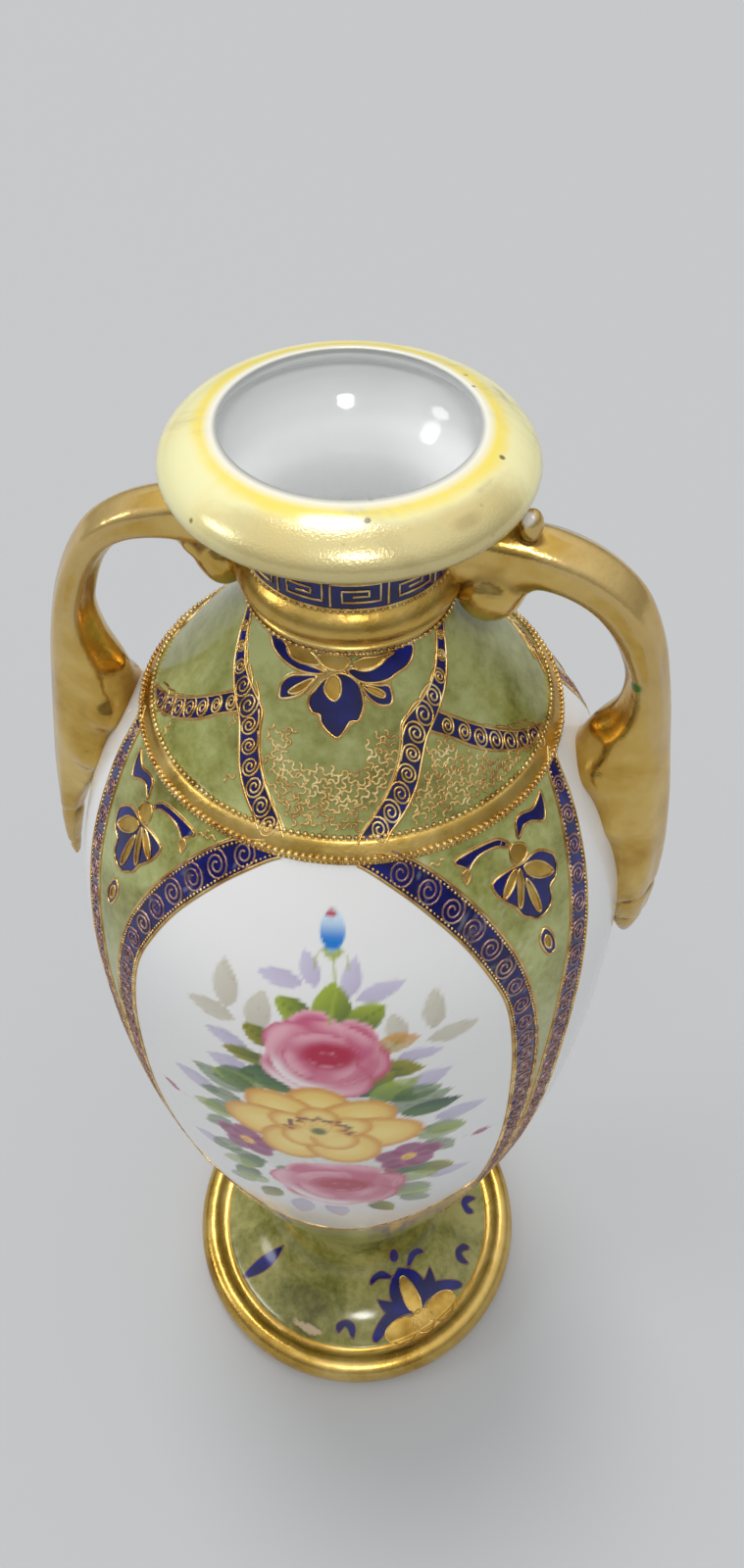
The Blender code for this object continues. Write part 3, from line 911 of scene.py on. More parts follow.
def paintRose(picture, x, y, size, tall, turn, seed):
    # A full rose from broad outer petals inwards, then its deep heart
    dice = random.Random(seed)
    p = paints
    for k in range(7):
        lean = turn + k * 360 / 7 + dice.uniform(-8, 8)
        brushPetal(picture, x, y, lean, size * 1.02, size * 0.92, p["rose"] if k % 3 else p["rosePale"],
                   p["rosePale"] if k % 3 else p["rose"], rim=0.8, soft=0.22)
    brushDot(picture, x, y, size * 0.80, p["rose"], 0.70, 1.4, tall)
    for k in range(26):
        turnHere = dice.uniform(0, 360)
        brushArc(picture, x + dice.uniform(-0.5, 0.5), y + dice.uniform(-0.5, 0.5),
                 size * dice.uniform(0.45, 0.98),
                 size * 0.06, turnHere, turnHere + dice.uniform(40, 80),
                 p["rosePale"] if k % 2 else p["rose"], 0.4, tall)
    brushArc(picture, x, y, size * 1.0, size * 0.34, 285 + turn, 60 + turn, p["roseDeep"], 0.35, tall)
    for k, (radius, start, end, tone, alpha) in enumerate((
            (0.96, 190, 300, p["roseWhite"], 0.95), (0.90, 15, 110, p["rosePale"], 0.8),
            (0.86, 118, 200, p["rosePale"], 0.9), (0.78, 300, 20, p["roseDeep"], 0.30),
            (0.80, 165, 290, p["roseWhite"], 1.0), (0.64, 40, 150, p["rosePale"], 0.75),
            (0.56, 150, 260, p["rosePale"], 0.85), (0.50, 280, 40, p["rosePale"], 0.6),
            (0.42, 60, 190, p["rose"], 0.6))):
        brushArc(picture, x + dice.uniform(-0.4, 0.4), y + dice.uniform(-0.3, 0.3), size * radius,
                 size * 0.30, start + turn, end + turn, tone, alpha, tall)
    brushDot(picture, x + size * 0.08, y + size * 0.12, size * 0.42, p["roseDeep"], 1.0, 1.5, 0.68)
    for k in range(4):
        brushArc(picture, x + size * 0.05, y + size * 0.10, size * (0.16 + 0.07 * k), size * 0.06,
                 turn + k * 95, turn + k * 95 + 150, p["roseDeep"] if k % 2 else p["rosePale"], 0.55, 0.75)


def paintYellow(picture, x, y, size):
    p = paints
    outer = ((90, 12.6, 10.4), (140, 12.8, 10.4), (38, 13.0, 10.4), (186, 14.4, 10.6), (-6, 15.4, 10.4),
             (238, 12.6, 11.0), (302, 12.8, 11.4))
    for lean, length, width in outer:
        brushPetal(picture, x, y, lean, length * size, width * size, p["yellowPale"], p["orange"], rim=1.5,
                   soft=0.4)
        brushPetal(picture, x + 3 * math.cos(math.radians(lean)), y + 3 * math.sin(math.radians(lean)), lean,
                   (length - 4.6) * size, (width - 3.4) * size, p["yellowPale"], p["yellow"], 0.8, 1.6, 0.9)
    inner = ((165, 7.6, 6.6), (15, 8.0, 6.8), (235, 7.4, 7.0), (305, 7.6, 7.2), (90, 6.8, 6.4))
    for lean, length, width in inner:
        brushPetal(picture, x, y + 0.3, lean, length * size, width * size, p["yellowPale"], p["orange"], 0.9,
                   1.2, 0.35)
    brushDot(picture, x, y, 2.6 * size, p["yellowPale"], 0.95, 0.8)
    for k in range(19):
        turn = math.radians(-14 + 208 * k / 18)
        reach = (4.3 + 0.5 * math.sin(k * 2.3)) * size
        brushDot(picture, x + reach * math.cos(turn), y + reach * 0.78 * math.sin(turn), 0.46, p["stamen"],
                 0.9, 0.2)
        brushStem(picture, [(x + 1.4 * math.cos(turn), y + 1.1 * math.sin(turn)),
                            (x + reach * math.cos(turn), y + reach * 0.78 * math.sin(turn))], 0.18,
                  p["orange"], 0.5)
    brushDot(picture, x, y - 0.5, 1.15 * size, p["leafDark"], 0.85, 0.5)


def paintSmallFlower(picture, x, y, size):
    for k in range(5):
        brushPetal(picture, x, y, 90 + 72 * k, size, size * 0.95, paints["plum"], paints["plumPale"], 0.95,
                   0.6)
    brushDot(picture, x, y, size * 0.22, paints["yellow"], 1.0, 0.3)
    brushDot(picture, x - 0.2, y - 0.3, size * 0.10, paints["orange"], 0.8, 0.2)


def paintBud(picture, x, y):
    p = paints
    brushStem(picture, [(x + 0.2, y - 3.0), (x + 0.5, y - 7.5), (x - 0.2, y - 13.0)], 0.55, p["leafLight"],
              0.8)
    for side in (-1, 1):
        brushStem(picture, [(x, y - 2.6), (x + side * 2.0, y - 2.8), (x + side * 2.5, y - 4.6)], 0.5,
                  p["leafLight"], 0.7)
    brushDot(picture, x + 0.1, y - 2.6, 1.45, p["leafLight"], 0.95, 0.35, 0.8)
    brushDot(picture, x, y, 2.1, p["bluePale"], 1.0, 0.3, 1.22)
    along = softStep(y + 1.0 - picture.y, -0.6, 2.4)
    distance = np.hypot(picture.x - x, (picture.y - y) / 1.22)
    picture.lay(softStep(2.1 - distance, -0.2, 0.3) * along, p["blue"])
    brushDot(picture, x - 0.3, y + 1.9, 0.85, p["red"], 0.95, 0.25, 0.62)


# Leaves are angle, level, lean, length, width and colour
bouquetLeaves = [
    (-14.5, 176, 98, 8, 4.6, "beige"), (-9, 173.6, 80, 7.6, 4.4, "beige"),
    (-12.5, 174.6, 178, 8.2, 3.6, "beige"),
    (25.5, 174.6, 86, 7, 4, "beige"), (24, 172.8, 6, 8.2, 3.4, "beige"), (19, 173, 100, 6, 3.8, "beige"),
    (0.5, 183, 176, 7.2, 3.2, "lavender"), (3, 182.6, 112, 5.6, 3.4, "lavender"),
    (9.2, 181.4, 78, 6, 3.4, "lavender"),
    (10.6, 181, 18, 8, 3, "lavender"), (-10, 169.8, 172, 7, 3.4, "lavender"),
    (-9, 164, 176, 7.4, 4.6, "lavender"),
    (18, 170.4, 0, 7, 3, "lavender"), (19.5, 162.6, 24, 7.6, 4.4, "lavender"),
    (-17, 154.4, 176, 8.4, 4.8, "lavender"),
    (26, 152, -4, 8.6, 4.4, "lavender"), (-18, 133, 190, 7.6, 4.8, "lavender"),
    (26, 128.5, -18, 9, 4.6, "lavender"),
    (-2, 118, 262, 12, 5, "lavender"), (5, 118, 276, 11, 4.8, "lavender"),
    (2.6, 177, 150, 6.6, 4.6, "bright"), (6, 175.6, 88, 8.2, 6.2, "bright"),
    (9, 176.4, 34, 6.8, 4.8, "bright"),
    (-5, 171.6, 150, 5.4, 4, "olive"), (-5.6, 167.8, 178, 7.4, 3.6, "olive"),
    (13.5, 172.6, 12, 7.2, 3.8, "amber"),
    (13, 168.4, -8, 8, 4.6, "olive"), (13, 162.6, 60, 6.2, 4, "olive"),
    (-3, 165.6, 205, 7.6, 5.2, "deep"), (0, 163.2, 190, 7, 4, "deep"), (14, 164.2, -40, 7.8, 4.8, "deep"),
    (10, 162.4, 20, 6.4, 4, "deep"), (-9, 163.4, 215, 8, 5.4, "mid"), (-11, 158, 168, 9, 5.4, "mid"),
    (-12, 155, 196, 7.6, 4, "mid"), (16, 157, 16, 10.4, 5.4, "mid"), (19, 155.4, 6, 9.4, 4.6, "teal"),
    (-13, 151.6, 214, 8, 4.4, "mid"), (24, 149.4, -24, 7.6, 4.6, "mid"), (-16, 145.6, 228, 7.4, 3.8, "mid"),
    (25, 144.4, -52, 8, 4.4, "mid"), (-15, 137.4, 232, 9.4, 4.6, "mid"), (-11, 134.6, 246, 8.8, 4.6, "deep"),
    (22, 135, -36, 10, 5.2, "olive"), (19.5, 127, -44, 9.2, 5, "mid"), (-12, 127.6, 236, 9.6, 4.6, "deep"),
    (-8, 120.4, 246, 10, 4.4, "olive"), (14, 119.4, -66, 10.4, 4.6, "olive"),
    (21, 120.4, -52, 9.6, 4.4, "mid"),
    (-14, 121.4, 226, 8.6, 4.2, "mid"),
    (-7, 160.6, 178, 8.4, 4.6, "lime"), (-8.4, 158.4, 150, 7.4, 4.2, "mid"),
    (13, 160.6, 34, 8.6, 4.8, "lime"),
    (17.5, 160.6, 8, 7.4, 4.2, "mid"), (-14.6, 148.2, 188, 7.6, 4.6, "lime"),
    (22.5, 147, -8, 8.4, 4.8, "lime"),
    (16, 135.6, -12, 8.4, 5, "deep"), (-9, 134, 200, 8, 5, "mid"), (18, 131.6, -24, 9, 5, "lime"),
    (-12, 130.4, 214, 8.4, 4.8, "lime"), (-10.4, 124.4, 224, 8.6, 4.8, "lime"),
    (18.6, 123.4, -34, 9, 4.6, "lime"),
    (3, 160.6, 96, 6, 6, "deep"), (-2, 134.6, 250, 7, 6, "mid"), (9, 134.6, -64, 7, 6, "mid"),
]
leafTones = {
    "beige": ("beigeDeep", "beige", 0.80), "lavender": ("lavenderDeep", "lavender", 0.80),
    "bright": ("leafDark", "leafLight", 1.0),
    "olive": ("leafDark", "olive", 1.0), "amber": ("olive", "orange", 0.85), "deep": ("teal", "leafMid", 1.0),
    "mid": ("leafDark", "leafMid", 0.85), "teal": ("leafMid", "teal", 1.0),
    "lime": ("leafMid", "leafLight", 0.85),
}


def paintBouquet(picture, full=True):
    arc = math.radians(1) * vaseShape["bodyRadius"] / mm
    for x, y, size, alpha in ((1.5, 161.0, 9.0, 0.5), (1.0, 137.5, 12.5, 0.4), (-9.5, 150.0, 6.0, 0.2),
                              (12.5, 150.0, 6.0, 0.2), (3.0, 124.0, 12.5, 0.25)):
        brushDot(picture, x, y, size, paints["shadow"], alpha, 4.0, 0.62)
    for angle, level, lean, length, width, tone in bouquetLeaves:
        if not full and tone in ("beige", "teal", "amber"):
            continue
        dark, light, alpha = leafTones[tone]
        brushLeaf(picture, (angle - panelTurn) * arc, level, lean, length, width, paints[dark], paints[light],
                  alpha,
                  vein=tone not in ("lavender", "beige"))
    for x, y, lean in ((-22.5, 145.0, 176), (24.5, 140.6, -24)):
        brushStem(picture, [(x * 0.72, y + 2.4), (x * 0.86, y + 1.0), (x, y)], 0.3, paints["leafMid"], 0.6)
        brushLeaf(picture, x, y, lean, 4.0, 2.4, paints["red"], paints["plum"], 0.95, vein=False)
    paintSmallFlower(picture, -14.6 * arc, 140.8, 5.4)
    paintSmallFlower(picture, 19.4 * arc, 139.8, 5.6)
    paintRose(picture, 4.4 * arc, 127.4, 11.4, 1.10, 20, 3)
    paintRose(picture, 2.6 * arc, 170.0, 9.3, 0.90, 0, 7)
    paintYellow(picture, 1.2 * arc, 151.0, 1.02)
    if full:
        paintBud(picture, 4.0 * arc, 190.2)


# Body

bodyPiece = {"columns": 384, "crowding": 0.45, "fineRow": 0.55, "plainRow": 1.5, "fineFrom": 103.0,
             "fineTo": 197.0, "seam": 28.5}


def rowsBetween(low, high, step):
    count = max(1, round((high - low) / step))
    return [low + (high - low) * k / count for k in range(count)]


def bodyOutline():
    p = bodyPiece
    wall = vaseShape["wall"]
    levels = rowsBetween(p["seam"], p["fineFrom"], p["plainRow"]) + rowsBetween(p["fineFrom"], p["fineTo"],
                                                                                p["fineRow"])
    levels += rowsBetween(p["fineTo"], bodyTop, 0.5) + [bodyTop]
    outer = [(bodyRadiusAt(z * mm), z * mm) for z in levels]
    inner = [(bodyRadiusAt(z * mm) - wall * 1.25, z * mm) for z in (bodyTop, 192.0, 184.0, 172.0, 158.0,
                                                                    140.0, 118.0,
                                                                    96.0, 76.0, 58.0, 44.0, 36.0)]
    return [(0.0, p["seam"] * mm)] + outer + inner + [(0.007, 0.0325), (0.0, 0.0320)]


def setMaterials(thing, slots, choose):
    thing.data.materials.clear()
    for material in slots:
        thing.data.materials.append(material)
    count = len(thing.data.polygons)
    centres = np.empty(count * 3)
    thing.data.polygons.foreach_get("center", centres)
    thing.data.polygons.foreach_set("material_index", choose(centres.reshape(-1, 3) / mm).astype(np.int32))


def nearestRow(centres, outline):
    # Which stretch of a turned outline each face lies on
    spread = np.hypot(centres[:, 0], centres[:, 1])
    best = np.full(len(centres), 1e9)
    row = np.zeros(len(centres), int)
    for index, ((r0, z0), (r1, z1)) in enumerate(zip(outline, outline[1:])):
        gap = np.hypot(spread - (r0 + r1) / 2 / mm, centres[:, 2] - (z0 + z1) / 2 / mm)
        row = np.where(gap < best, index, row)
        best = np.minimum(best, gap)
    return row


def isInside(centres, slack=1.5):
    radii = np.hypot(centres[:, 0], centres[:, 1])
    shell = np.array([bodyRadiusAt(min(z, 217.4) * mm) / mm for z in centres[:, 2]])
    return radii < shell - slack


def panelEnd(angles):
    # Level where each white panel stops, lowest in its middle
    return 100.0 - 7.0 * np.cos(np.radians(4 * (angles - panelTurn)))


def makeBody():
    thing = turnedPiece("body", bodyOutline(), bodyPiece["columns"], bodyPiece["crowding"], materials["body"])
    points, angles = meshPoints(thing.data)
    chosen = outsideOnly(points)
    whites, blues = bandShapes()
    golds = []
    for place in fan["places"]:
        fanBlues, fanGolds = fanShapes(place)
        blues += fanBlues
        golds += fanGolds
    levels = points[:, 2]
    for name, shapes in (("white", whites), ("cobalt", blues), ("gilt", golds)):
        paintMask(thing.data, name, shapes, onBody, levels, angles, points, chosen)
    ending = panelEnd(angles)
    reach = maskPiece["reach"]
    changeValues(thing.data, "white", lambda white: np.maximum(white,
                                                               np.clip(ending - levels, -reach, reach)))
    share = (1 - softStep(levels - ending, -2.0, 0.0)) * (0.30 + 0.40 * softStep(levels, 70.0, 92.0))
    keepValues(thing.data, "worn", np.maximum(share, 0.8 * (1 - softStep(levels, 36.0, 46.0))))
    color = np.tile(np.array([*glazes["white"], 1.0]), (len(points), 1))
    cover = np.zeros(len(points))
    for centre, full in ((panelTurn, True), (panelTurn + 180.0, False)):
        picture = Picture(points, angles, chosen, centre)
        paintBouquet(picture, full)
        color[picture.where, :3] = picture.color
        cover[picture.where] = picture.cover
    paint = thing.data.attributes.new("paint", "FLOAT_COLOR", "POINT")
    paint.data.foreach_set("color", color.astype(np.float32).ravel())
    keepValues(thing.data, "cover", cover)
    setMaterials(thing, [materials["body"], materials["inner"]], isInside)
    finishPiece(thing)


# Shoulder between the gold band and the neck

shoulderPiece = {"columns": 256, "row": 0.42}


def makeShoulder():
    levels = rowsBetween(bodyTop, shoulderTop, shoulderPiece["row"]) + [shoulderTop]
    outer = [(bodyRadiusAt(z * mm), z * mm) for z in levels]
    throat = vaseShape["neckRadius"] - vaseShape["wall"]
    inner = [(throat, 0.2172), (0.0098, 0.2140), (0.0128, 0.2092), (0.0176, 0.2030),
             (bodyRadiusAt(0.1986) - 0.0042, 0.1986)]
    thing = turnedPiece("shoulder", outer + inner + [outer[0]], shoulderPiece["columns"], 0.0,
                        materials["shoulder"])
    points, angles = meshPoints(thing.data)
    chosen = outsideOnly(points)
    blues = shoulderShapes()
    golds = []
    for centre in (panelTurn, panelTurn + 180.0):
        leafBlues, leafGolds = palmetteShapes(centre)
        blues += leafBlues
        golds += leafGolds
    for name, shapes in (("cobalt", blues), ("gilt", golds)):
        paintMask(thing.data, name, shapes, onBody, points[:, 2], angles, points, chosen)
    setMaterials(thing, [materials["shoulder"], materials["inner"]], lambda c: isInside(c, 1.4))
    finishPiece(thing)


# Neck with its cobalt key band and the convex gold band

neckPiece = {"columns": 160, "keyLow": 223.7, "keyHigh": 227.7, "throat": 0.0092}


def makeNeck():
    radius = vaseShape["neckRadius"]
    outer = [(radius, 0.2172), (radius + 0.0004, 0.2178), (radius, 0.2183), (radius + 0.0009, 0.2193),
             (radius + 0.0015, 0.2208), (radius + 0.0009, 0.2223), (radius, 0.2233), (radius, 0.2238),
             (radius, 0.2245), (radius, 0.2255), (radius, 0.2265), (radius, 0.2275), (radius, 0.2285),
             (radius + 0.0006, 0.2300), (radius + 0.0014, 0.2316), (radius + 0.0026, 0.2332)]
    outer = smooth(outer, 3)
    outline = outer + [(radius + 0.0020, 0.2330), (radius + 0.0002, 0.2300), (radius - 0.0010, 0.2270),
                       (radius - 0.0012, 0.2172), outer[0]]
    thing = turnedPiece("neck", outline, neckPiece["columns"], 0.0, materials["giltBand"])

    def choose(c):
        key = (c[:, 2] > neckPiece["keyLow"]) & (c[:, 2] < neckPiece["keyHigh"])
        return np.where(nearestRow(c, outline) >= len(outer), 2, np.where(key, 1, 0))
    setMaterials(thing, [materials["giltBand"], materials["key"], materials["inner"]], choose)
    finishPiece(thing)


# Rolled lip with the white bowl inside it

lipPiece = {"columns": 256, "tilt": 14.0, "thickness": 0.0062, "edge": 0.0016, "undercut": 0.0010,
            # Smudges are angle, radius, half angle, half reach and depth
            "smudges": [(48, 19.6, 7, 0.7, 0.9), (62, 17.6, 9, 0.5, 0.6), (10, 18.0, 30, 0.35, 0.45),
                        (-55, 17.4, 12, 0.3, 0.5), (120, 18.4, 14, 0.6, 0.5), (-100, 19.8, 10, 0.8, 0.35),
                        (100, 20.6, 8, 0.6, 0.5)]}


def makeLip():
    tilt = math.radians(lipPiece["tilt"])
    mouth = vaseShape["mouthRadius"]
    half = lipPiece["thickness"] / 2
    reach = (vaseShape["lipRadius"] - mouth) / math.cos(tilt)
    roll = []
    for degrees in range(-80, 112, 8):
        along = reach * math.cos(math.radians(degrees))
        across = half * math.sin(math.radians(degrees))
        roll.append((mouth + along * math.cos(tilt) + across * math.sin(tilt),
                     across * math.cos(tilt) - along * math.sin(tilt)))
    rise = height - max(z for radius, z in roll)
    roll = [(radius, z + rise) for radius, z in roll]
    throat = neckPiece["throat"]
    bowl = smooth([(mouth + 0.0001, height - 0.0006), (mouth, height - lipPiece["edge"]),
                   (mouth + lipPiece["undercut"], height - 0.0027), (mouth + 0.0009, height - 0.0040),
                   (0.0151, height - 0.0058), (0.0137, height - 0.0074), (0.0122, height - 0.0094),
                   (0.0110, height - 0.0120), (0.0102, height - 0.0155), (0.0097, height - 0.0195),
                   (throat, 0.2140)], 6)
    under = [(throat + 0.0016, 0.2140), (0.0114, 0.2270), (0.0122, 0.2290), (0.0136, 0.2312),
             (0.0150, 0.2329)]
    outline = under + roll + bowl + [under[0]]
    bowlStart = len(under) + len(roll)
    thing = turnedPiece("lip", outline, lipPiece["columns"], 0.0, materials["lip"])
    points, angles = meshPoints(thing.data)
    radii = np.hypot(points[:, 0], points[:, 1])
    rim = mouth / mm
    keepValues(thing.data, "edge", 1 - softStep(radii, rim + 0.6, rim + 3.6))
    keepValues(thing.data, "mouth", 1 - softStep(radii, rim - 0.10, rim + 0.50))
    # Gold lustre only on the front of the roll, also standing for the painted sheen of light there
    front = softStep(np.cos(np.radians(angles - 20)), 0.30, 0.95) * softStep(radii, 16.8, 18.6)
    front *= 1 - softStep(radii, 20.9, 21.4) * softStep(-points[:, 2], -234.0, -231.0) * 0.7
    keepValues(thing.data, "lustreAndSheen", front * 0.85)
    smudge = np.zeros(len(points))
    for turn, reach, wide, tall, depth in lipPiece["smudges"]:
        away = np.abs((angles - turn + 180) % 360 - 180) / wide
        smudge = np.maximum(smudge, depth * np.exp(-away ** 2 - ((radii - reach) / tall) ** 2))
    keepValues(thing.data, "smudge", smudge * (points[:, 2] > 232))

    def choose(c):
        return (nearestRow(c, outline) >= bowlStart).astype(int)
    setMaterials(thing, [materials["lip"], materials["inner"]], choose)
    finishPiece(thing)


# Foot with its gilt rim and the bare ring it stands on

footPiece = {"columns": 256, "giltFrom": 33.2}


def makeFoot():
    footRadius = vaseShape["footRadius"]
    rimWidth = vaseShape["footRimWidth"]
    edge = footRadius - rimWidth
    waist = vaseShape["waistRadius"]
    seam = bodyPiece["seam"] * mm
    outline = [(0.0, seam), (bodyRadiusAt(seam), seam), (bodyRadiusAt(0.0274), 0.0274),
               (waist, vaseShape["waistHeight"])]
    steps = 40
    for k in range(1, steps + 1):
        radius = waist + (edge - waist) * (k / steps) ** 1.4
        outline.append((radius, footHeightAt(radius)))
    half = rimWidth / 2
    rimStart = len(outline) - 1
    for degrees in range(114, -46, -12):
        turn = math.radians(degrees)
        outline.append((edge + half + half * math.cos(turn),
                        vaseShape["footRimHeight"] / 2 * (1 + math.sin(turn))))
    flat = footRadius - rimWidth * 0.30
    ringStart = len(outline)
    outline += [(flat, 0.0), (flat - 0.0040, 0.0), (flat - 0.0040, 0.0006), (0.0305, 0.0038),
                (0.0224, 0.0089),
                (0.0131, 0.0162), (0.0098, 0.0221), (0.0, 0.0236)]
    thing = turnedPiece("foot", outline, footPiece["columns"], 0.0, materials["foot"])
    points, angles = meshPoints(thing.data)
    radii = np.hypot(points[:, 0], points[:, 1])
    tops = np.array([footHeightAt(min(r * mm, footRadius)) / mm for r in radii])
    chosen = np.abs(points[:, 2] - tops) < 0.8
    blues, golds = footShapes()
    for name, shapes in (("cobalt", blues), ("gilt", golds)):
        paintMask(thing.data, name, shapes, onFoot, radii, angles, points, chosen)
    changeValues(thing.data, "gilt", lambda gilt: np.minimum(gilt, footPiece["giltFrom"] - radii))
    keepValues(thing.data, "worn", 0.70 * np.exp(-((angles + 13) / 12) ** 2 - ((radii - 31.0) / 1.6) ** 2))

    def choose(c):
        row = nearestRow(c, outline)
        return np.where(row < rimStart, 0, np.where(row < ringStart, 1, np.where(row < ringStart + 3, 2, 3)))
    setMaterials(thing, [materials["foot"], materials["giltBand"], materials["clay"], materials["inner"]],
                 choose)
    finishPiece(thing)


# Handles

# Each station is the outer edge x, z, the inner edge x, z and half the width, in millimetres
handlePiece = {
    "voxel": 0.30, "drumRadius": 2.2, "drumDepth": 5, "drumPlace": (17, 219.8), "flute": 0.05,
    "creaseDepth": 0.26, "creaseWidth": 0.75,
    # Places to even out are x, z, the spread in each, the near and far limits and the rounds
    "ease": [(37, 188, 1.3, 2.6, 5, 9.5, 90), (20, 220.4, 1, 1, 2.5, 6, 24)],
    "right": {"sign": 1, "stations": [
        (11, 230.2, 11, 218.8, 3.5), (19.5, 229, 18.5, 219.8, 3.6), (25.6, 227.6, 24, 220.2, 3.8),
        (31, 225, 28.4, 218.4, 3.9), (35.6, 220.8, 31.6, 215.2, 4), (38.7, 214.6, 34, 211.2, 4.1),
        (40.6, 208.2, 35.3, 206.6, 4.3), (42.1, 201.8, 34.7, 201.2, 4.7), (43.4, 194.6, 31.6, 197.2, 5.4),
        (44.8, 186.8, 30.8, 190.6, 6.1), (46, 177.4, 34.2, 181, 6), (46.6, 168.2, 37.2, 169.6, 4.9),
        (46.6, 160.5, 40.2, 160.7, 3.5), (45.9, 155, 41.6, 155.4, 2.2), (44.8, 151.6, 43.4, 152, 0.9)],
        "creases": [(47, 166.5, 40, 161.5), (46.5, 158, 41, 156.5)],
        "lobe": [(17.2, 219.5, 4.5, 4.7, 4.6), (21, 221.2, 2, 3, 1.7)]},
    "left": {"sign": -1, "stations": [
        (11, 229.8, 11, 219.6, 3.2), (19.5, 229.2, 18, 221.2, 3.3), (26.5, 227.2, 24.4, 221.6, 3.5),
        (32, 223.8, 28.4, 220.4, 3.6), (35.6, 219.2, 31.2, 217.6, 3.7), (38.4, 213.4, 33.2, 213.4, 3.8),
        (40.4, 207.4, 34.5, 207.8, 4), (42, 201, 33.4, 202, 4.5), (43.4, 193.6, 31.2, 197, 5.1),
        (44.8, 185.4, 31.4, 190, 5.5), (46.2, 176.6, 35.6, 180.2, 4.7), (47.4, 167.6, 42.6, 168.6, 3.1),
        (48.1, 160.4, 45, 161, 2.4), (48.2, 155, 46.4, 155.4, 1.8), (47.9, 151.4, 47.2, 151.6, 0.9)],
        "creases": [(48.4, 166, 43, 164.4), (49, 155.9, 45.5, 155.2)],
        "lobe": [(15.7, 219.9, 3.5, 4.1, 4.2), (19.2, 221.4, 2, 2.9, 1.7)]},
    # Lumps of the swelling root and of the lobes are x, z and three radii
    "root": [(34.4, 191.6, 4.4, 6.5, 4.6), (38, 183, 4.8, 6.8, 5.2)],
    "knob": {"place": (0.0210, -0.0022, 0.2302), "radii": (0.0015, 0.0015, 0.0022)},
    # Place and reach of the painted highlight by the knob, and of the green dot
    "marks": {"knobHighlight": ((0.0205, -0.0030, 0.2316), 0.0011), "green": ((0.0364, -0.0036, 0.2086), 0.00105)},
}


def addStrap(shape, side):
    hand = handlePiece[side]
    path = smooth(hand["stations"], 9)
    sign = hand["sign"]
    sides = 36
    rings = []
    for outerX, outerZ, innerX, innerZ, wide in path:
        middle = ((outerX + innerX) / 2, (outerZ + innerZ) / 2)
        half = ((outerX - innerX) / 2, (outerZ - innerZ) / 2)
        ring = []
        for step in range(sides):
            turn = tau * (step + 0.5) / sides
            swell = 1 + handlePiece["flute"] * math.cos(turn * 6)
            across = math.cos(turn) * swell
            ring.append(shape.verts.new((sign * (middle[0] + half[0] * across) * mm,
                                         wide * math.sin(turn) * swell * mm,
                                         (middle[1] + half[1] * across) * mm)))
        rings.append(ring)
    for low, high in zip(rings, rings[1:]):
        for step in range(sides):
            shape.faces.new((low[step], low[(step + 1) % sides], high[(step + 1) % sides], high[step]))
    shape.faces.new(rings[0])
    shape.faces.new(reversed(rings[-1]))


def addLump(shape, centre, radii):
    made = bmesh.ops.create_uvsphere(shape, u_segments=24, v_segments=14, radius=1.0)
    turn = Matrix.Translation(centre) @ Matrix.Diagonal((*radii, 1.0))
    bmesh.ops.transform(shape, matrix=turn, verts=made["verts"])


def addLobe(shape, sign):
    # Rounded drum under the lip that the strap curls into
    p = handlePiece
    x, z = p["drumPlace"]
    made = bmesh.ops.create_cone(shape, cap_ends=True, segments=32, radius1=p["drumRadius"] * mm,
                                 radius2=p["drumRadius"] * mm, depth=p["drumDepth"] * mm)
    turn = Matrix.Translation((sign * x * mm, 0.0, z * mm)) @ Matrix.Rotation(math.pi / 2, 4, "X")
    bmesh.ops.transform(shape, matrix=turn, verts=made["verts"])


def neighbourMean(edges, count):
    # Gives the function that averages each point's neighbours
    ends = np.concatenate([edges[:, 0], edges[:, 1]])
    others = np.concatenate([edges[:, 1], edges[:, 0]])
    number = np.maximum(np.bincount(ends, minlength=count), 1)[:, None]

    def mean(points):
        return np.stack([np.bincount(ends, points[others, axis], count) for axis in range(3)],
                        axis=1) / number
    return mean

def easeMesh(points, edges, amount, rounds):
    # Evens the surface out, by an amount for each point
    mean = neighbourMean(edges, len(points))
    for k in range(rounds):
        points += (mean(points) - points) * amount[:, None]
    return points

def segmentGap(x, z, line):
    x0, z0, x1, z1 = line
    run = (x1 - x0, z1 - z0)
    share = np.clip(((x - x0) * run[0] + (z - z0) * run[1]) / (run[0] ** 2 + run[1] ** 2), 0, 1)
    return np.hypot(x - x0 - share * run[0], z - z0 - share * run[1])


def castHandle(side):
    # Strap, lobe and lumps joined and cast as one closed skin
    p = handlePiece
    sign = p[side]["sign"]
    shape = bmesh.new()
    addStrap(shape, side)
    addLobe(shape, sign)
    for x, z, rx, ry, rz in p["root"] + p[side]["lobe"]:
        addLump(shape, (sign * x * mm, 0.0, z * mm), (rx * mm, ry * mm, rz * mm))
    if side == "right":
        addLump(shape, p["knob"]["place"], p["knob"]["radii"])
    mesh = bpy.data.meshes.new(side + "Handle")
    shape.normal_update()
    shape.to_mesh(mesh)
    shape.free()
    thing = addObject(side + "Handle", mesh)
    faceOutwards(mesh)
    step = thing.modifiers.new("cast", "REMESH")
    step.mode = "VOXEL"
    step.voxel_size = p["voxel"] * mm
    bpy.context.view_layer.update()
    made = bpy.data.meshes.new_from_object(thing.evaluated_get(bpy.context.evaluated_depsgraph_get()))
    bpy.data.objects.remove(thing, do_unlink=True)
    made.name = side + "Handle"
    return addObject(side + "Handle", made)

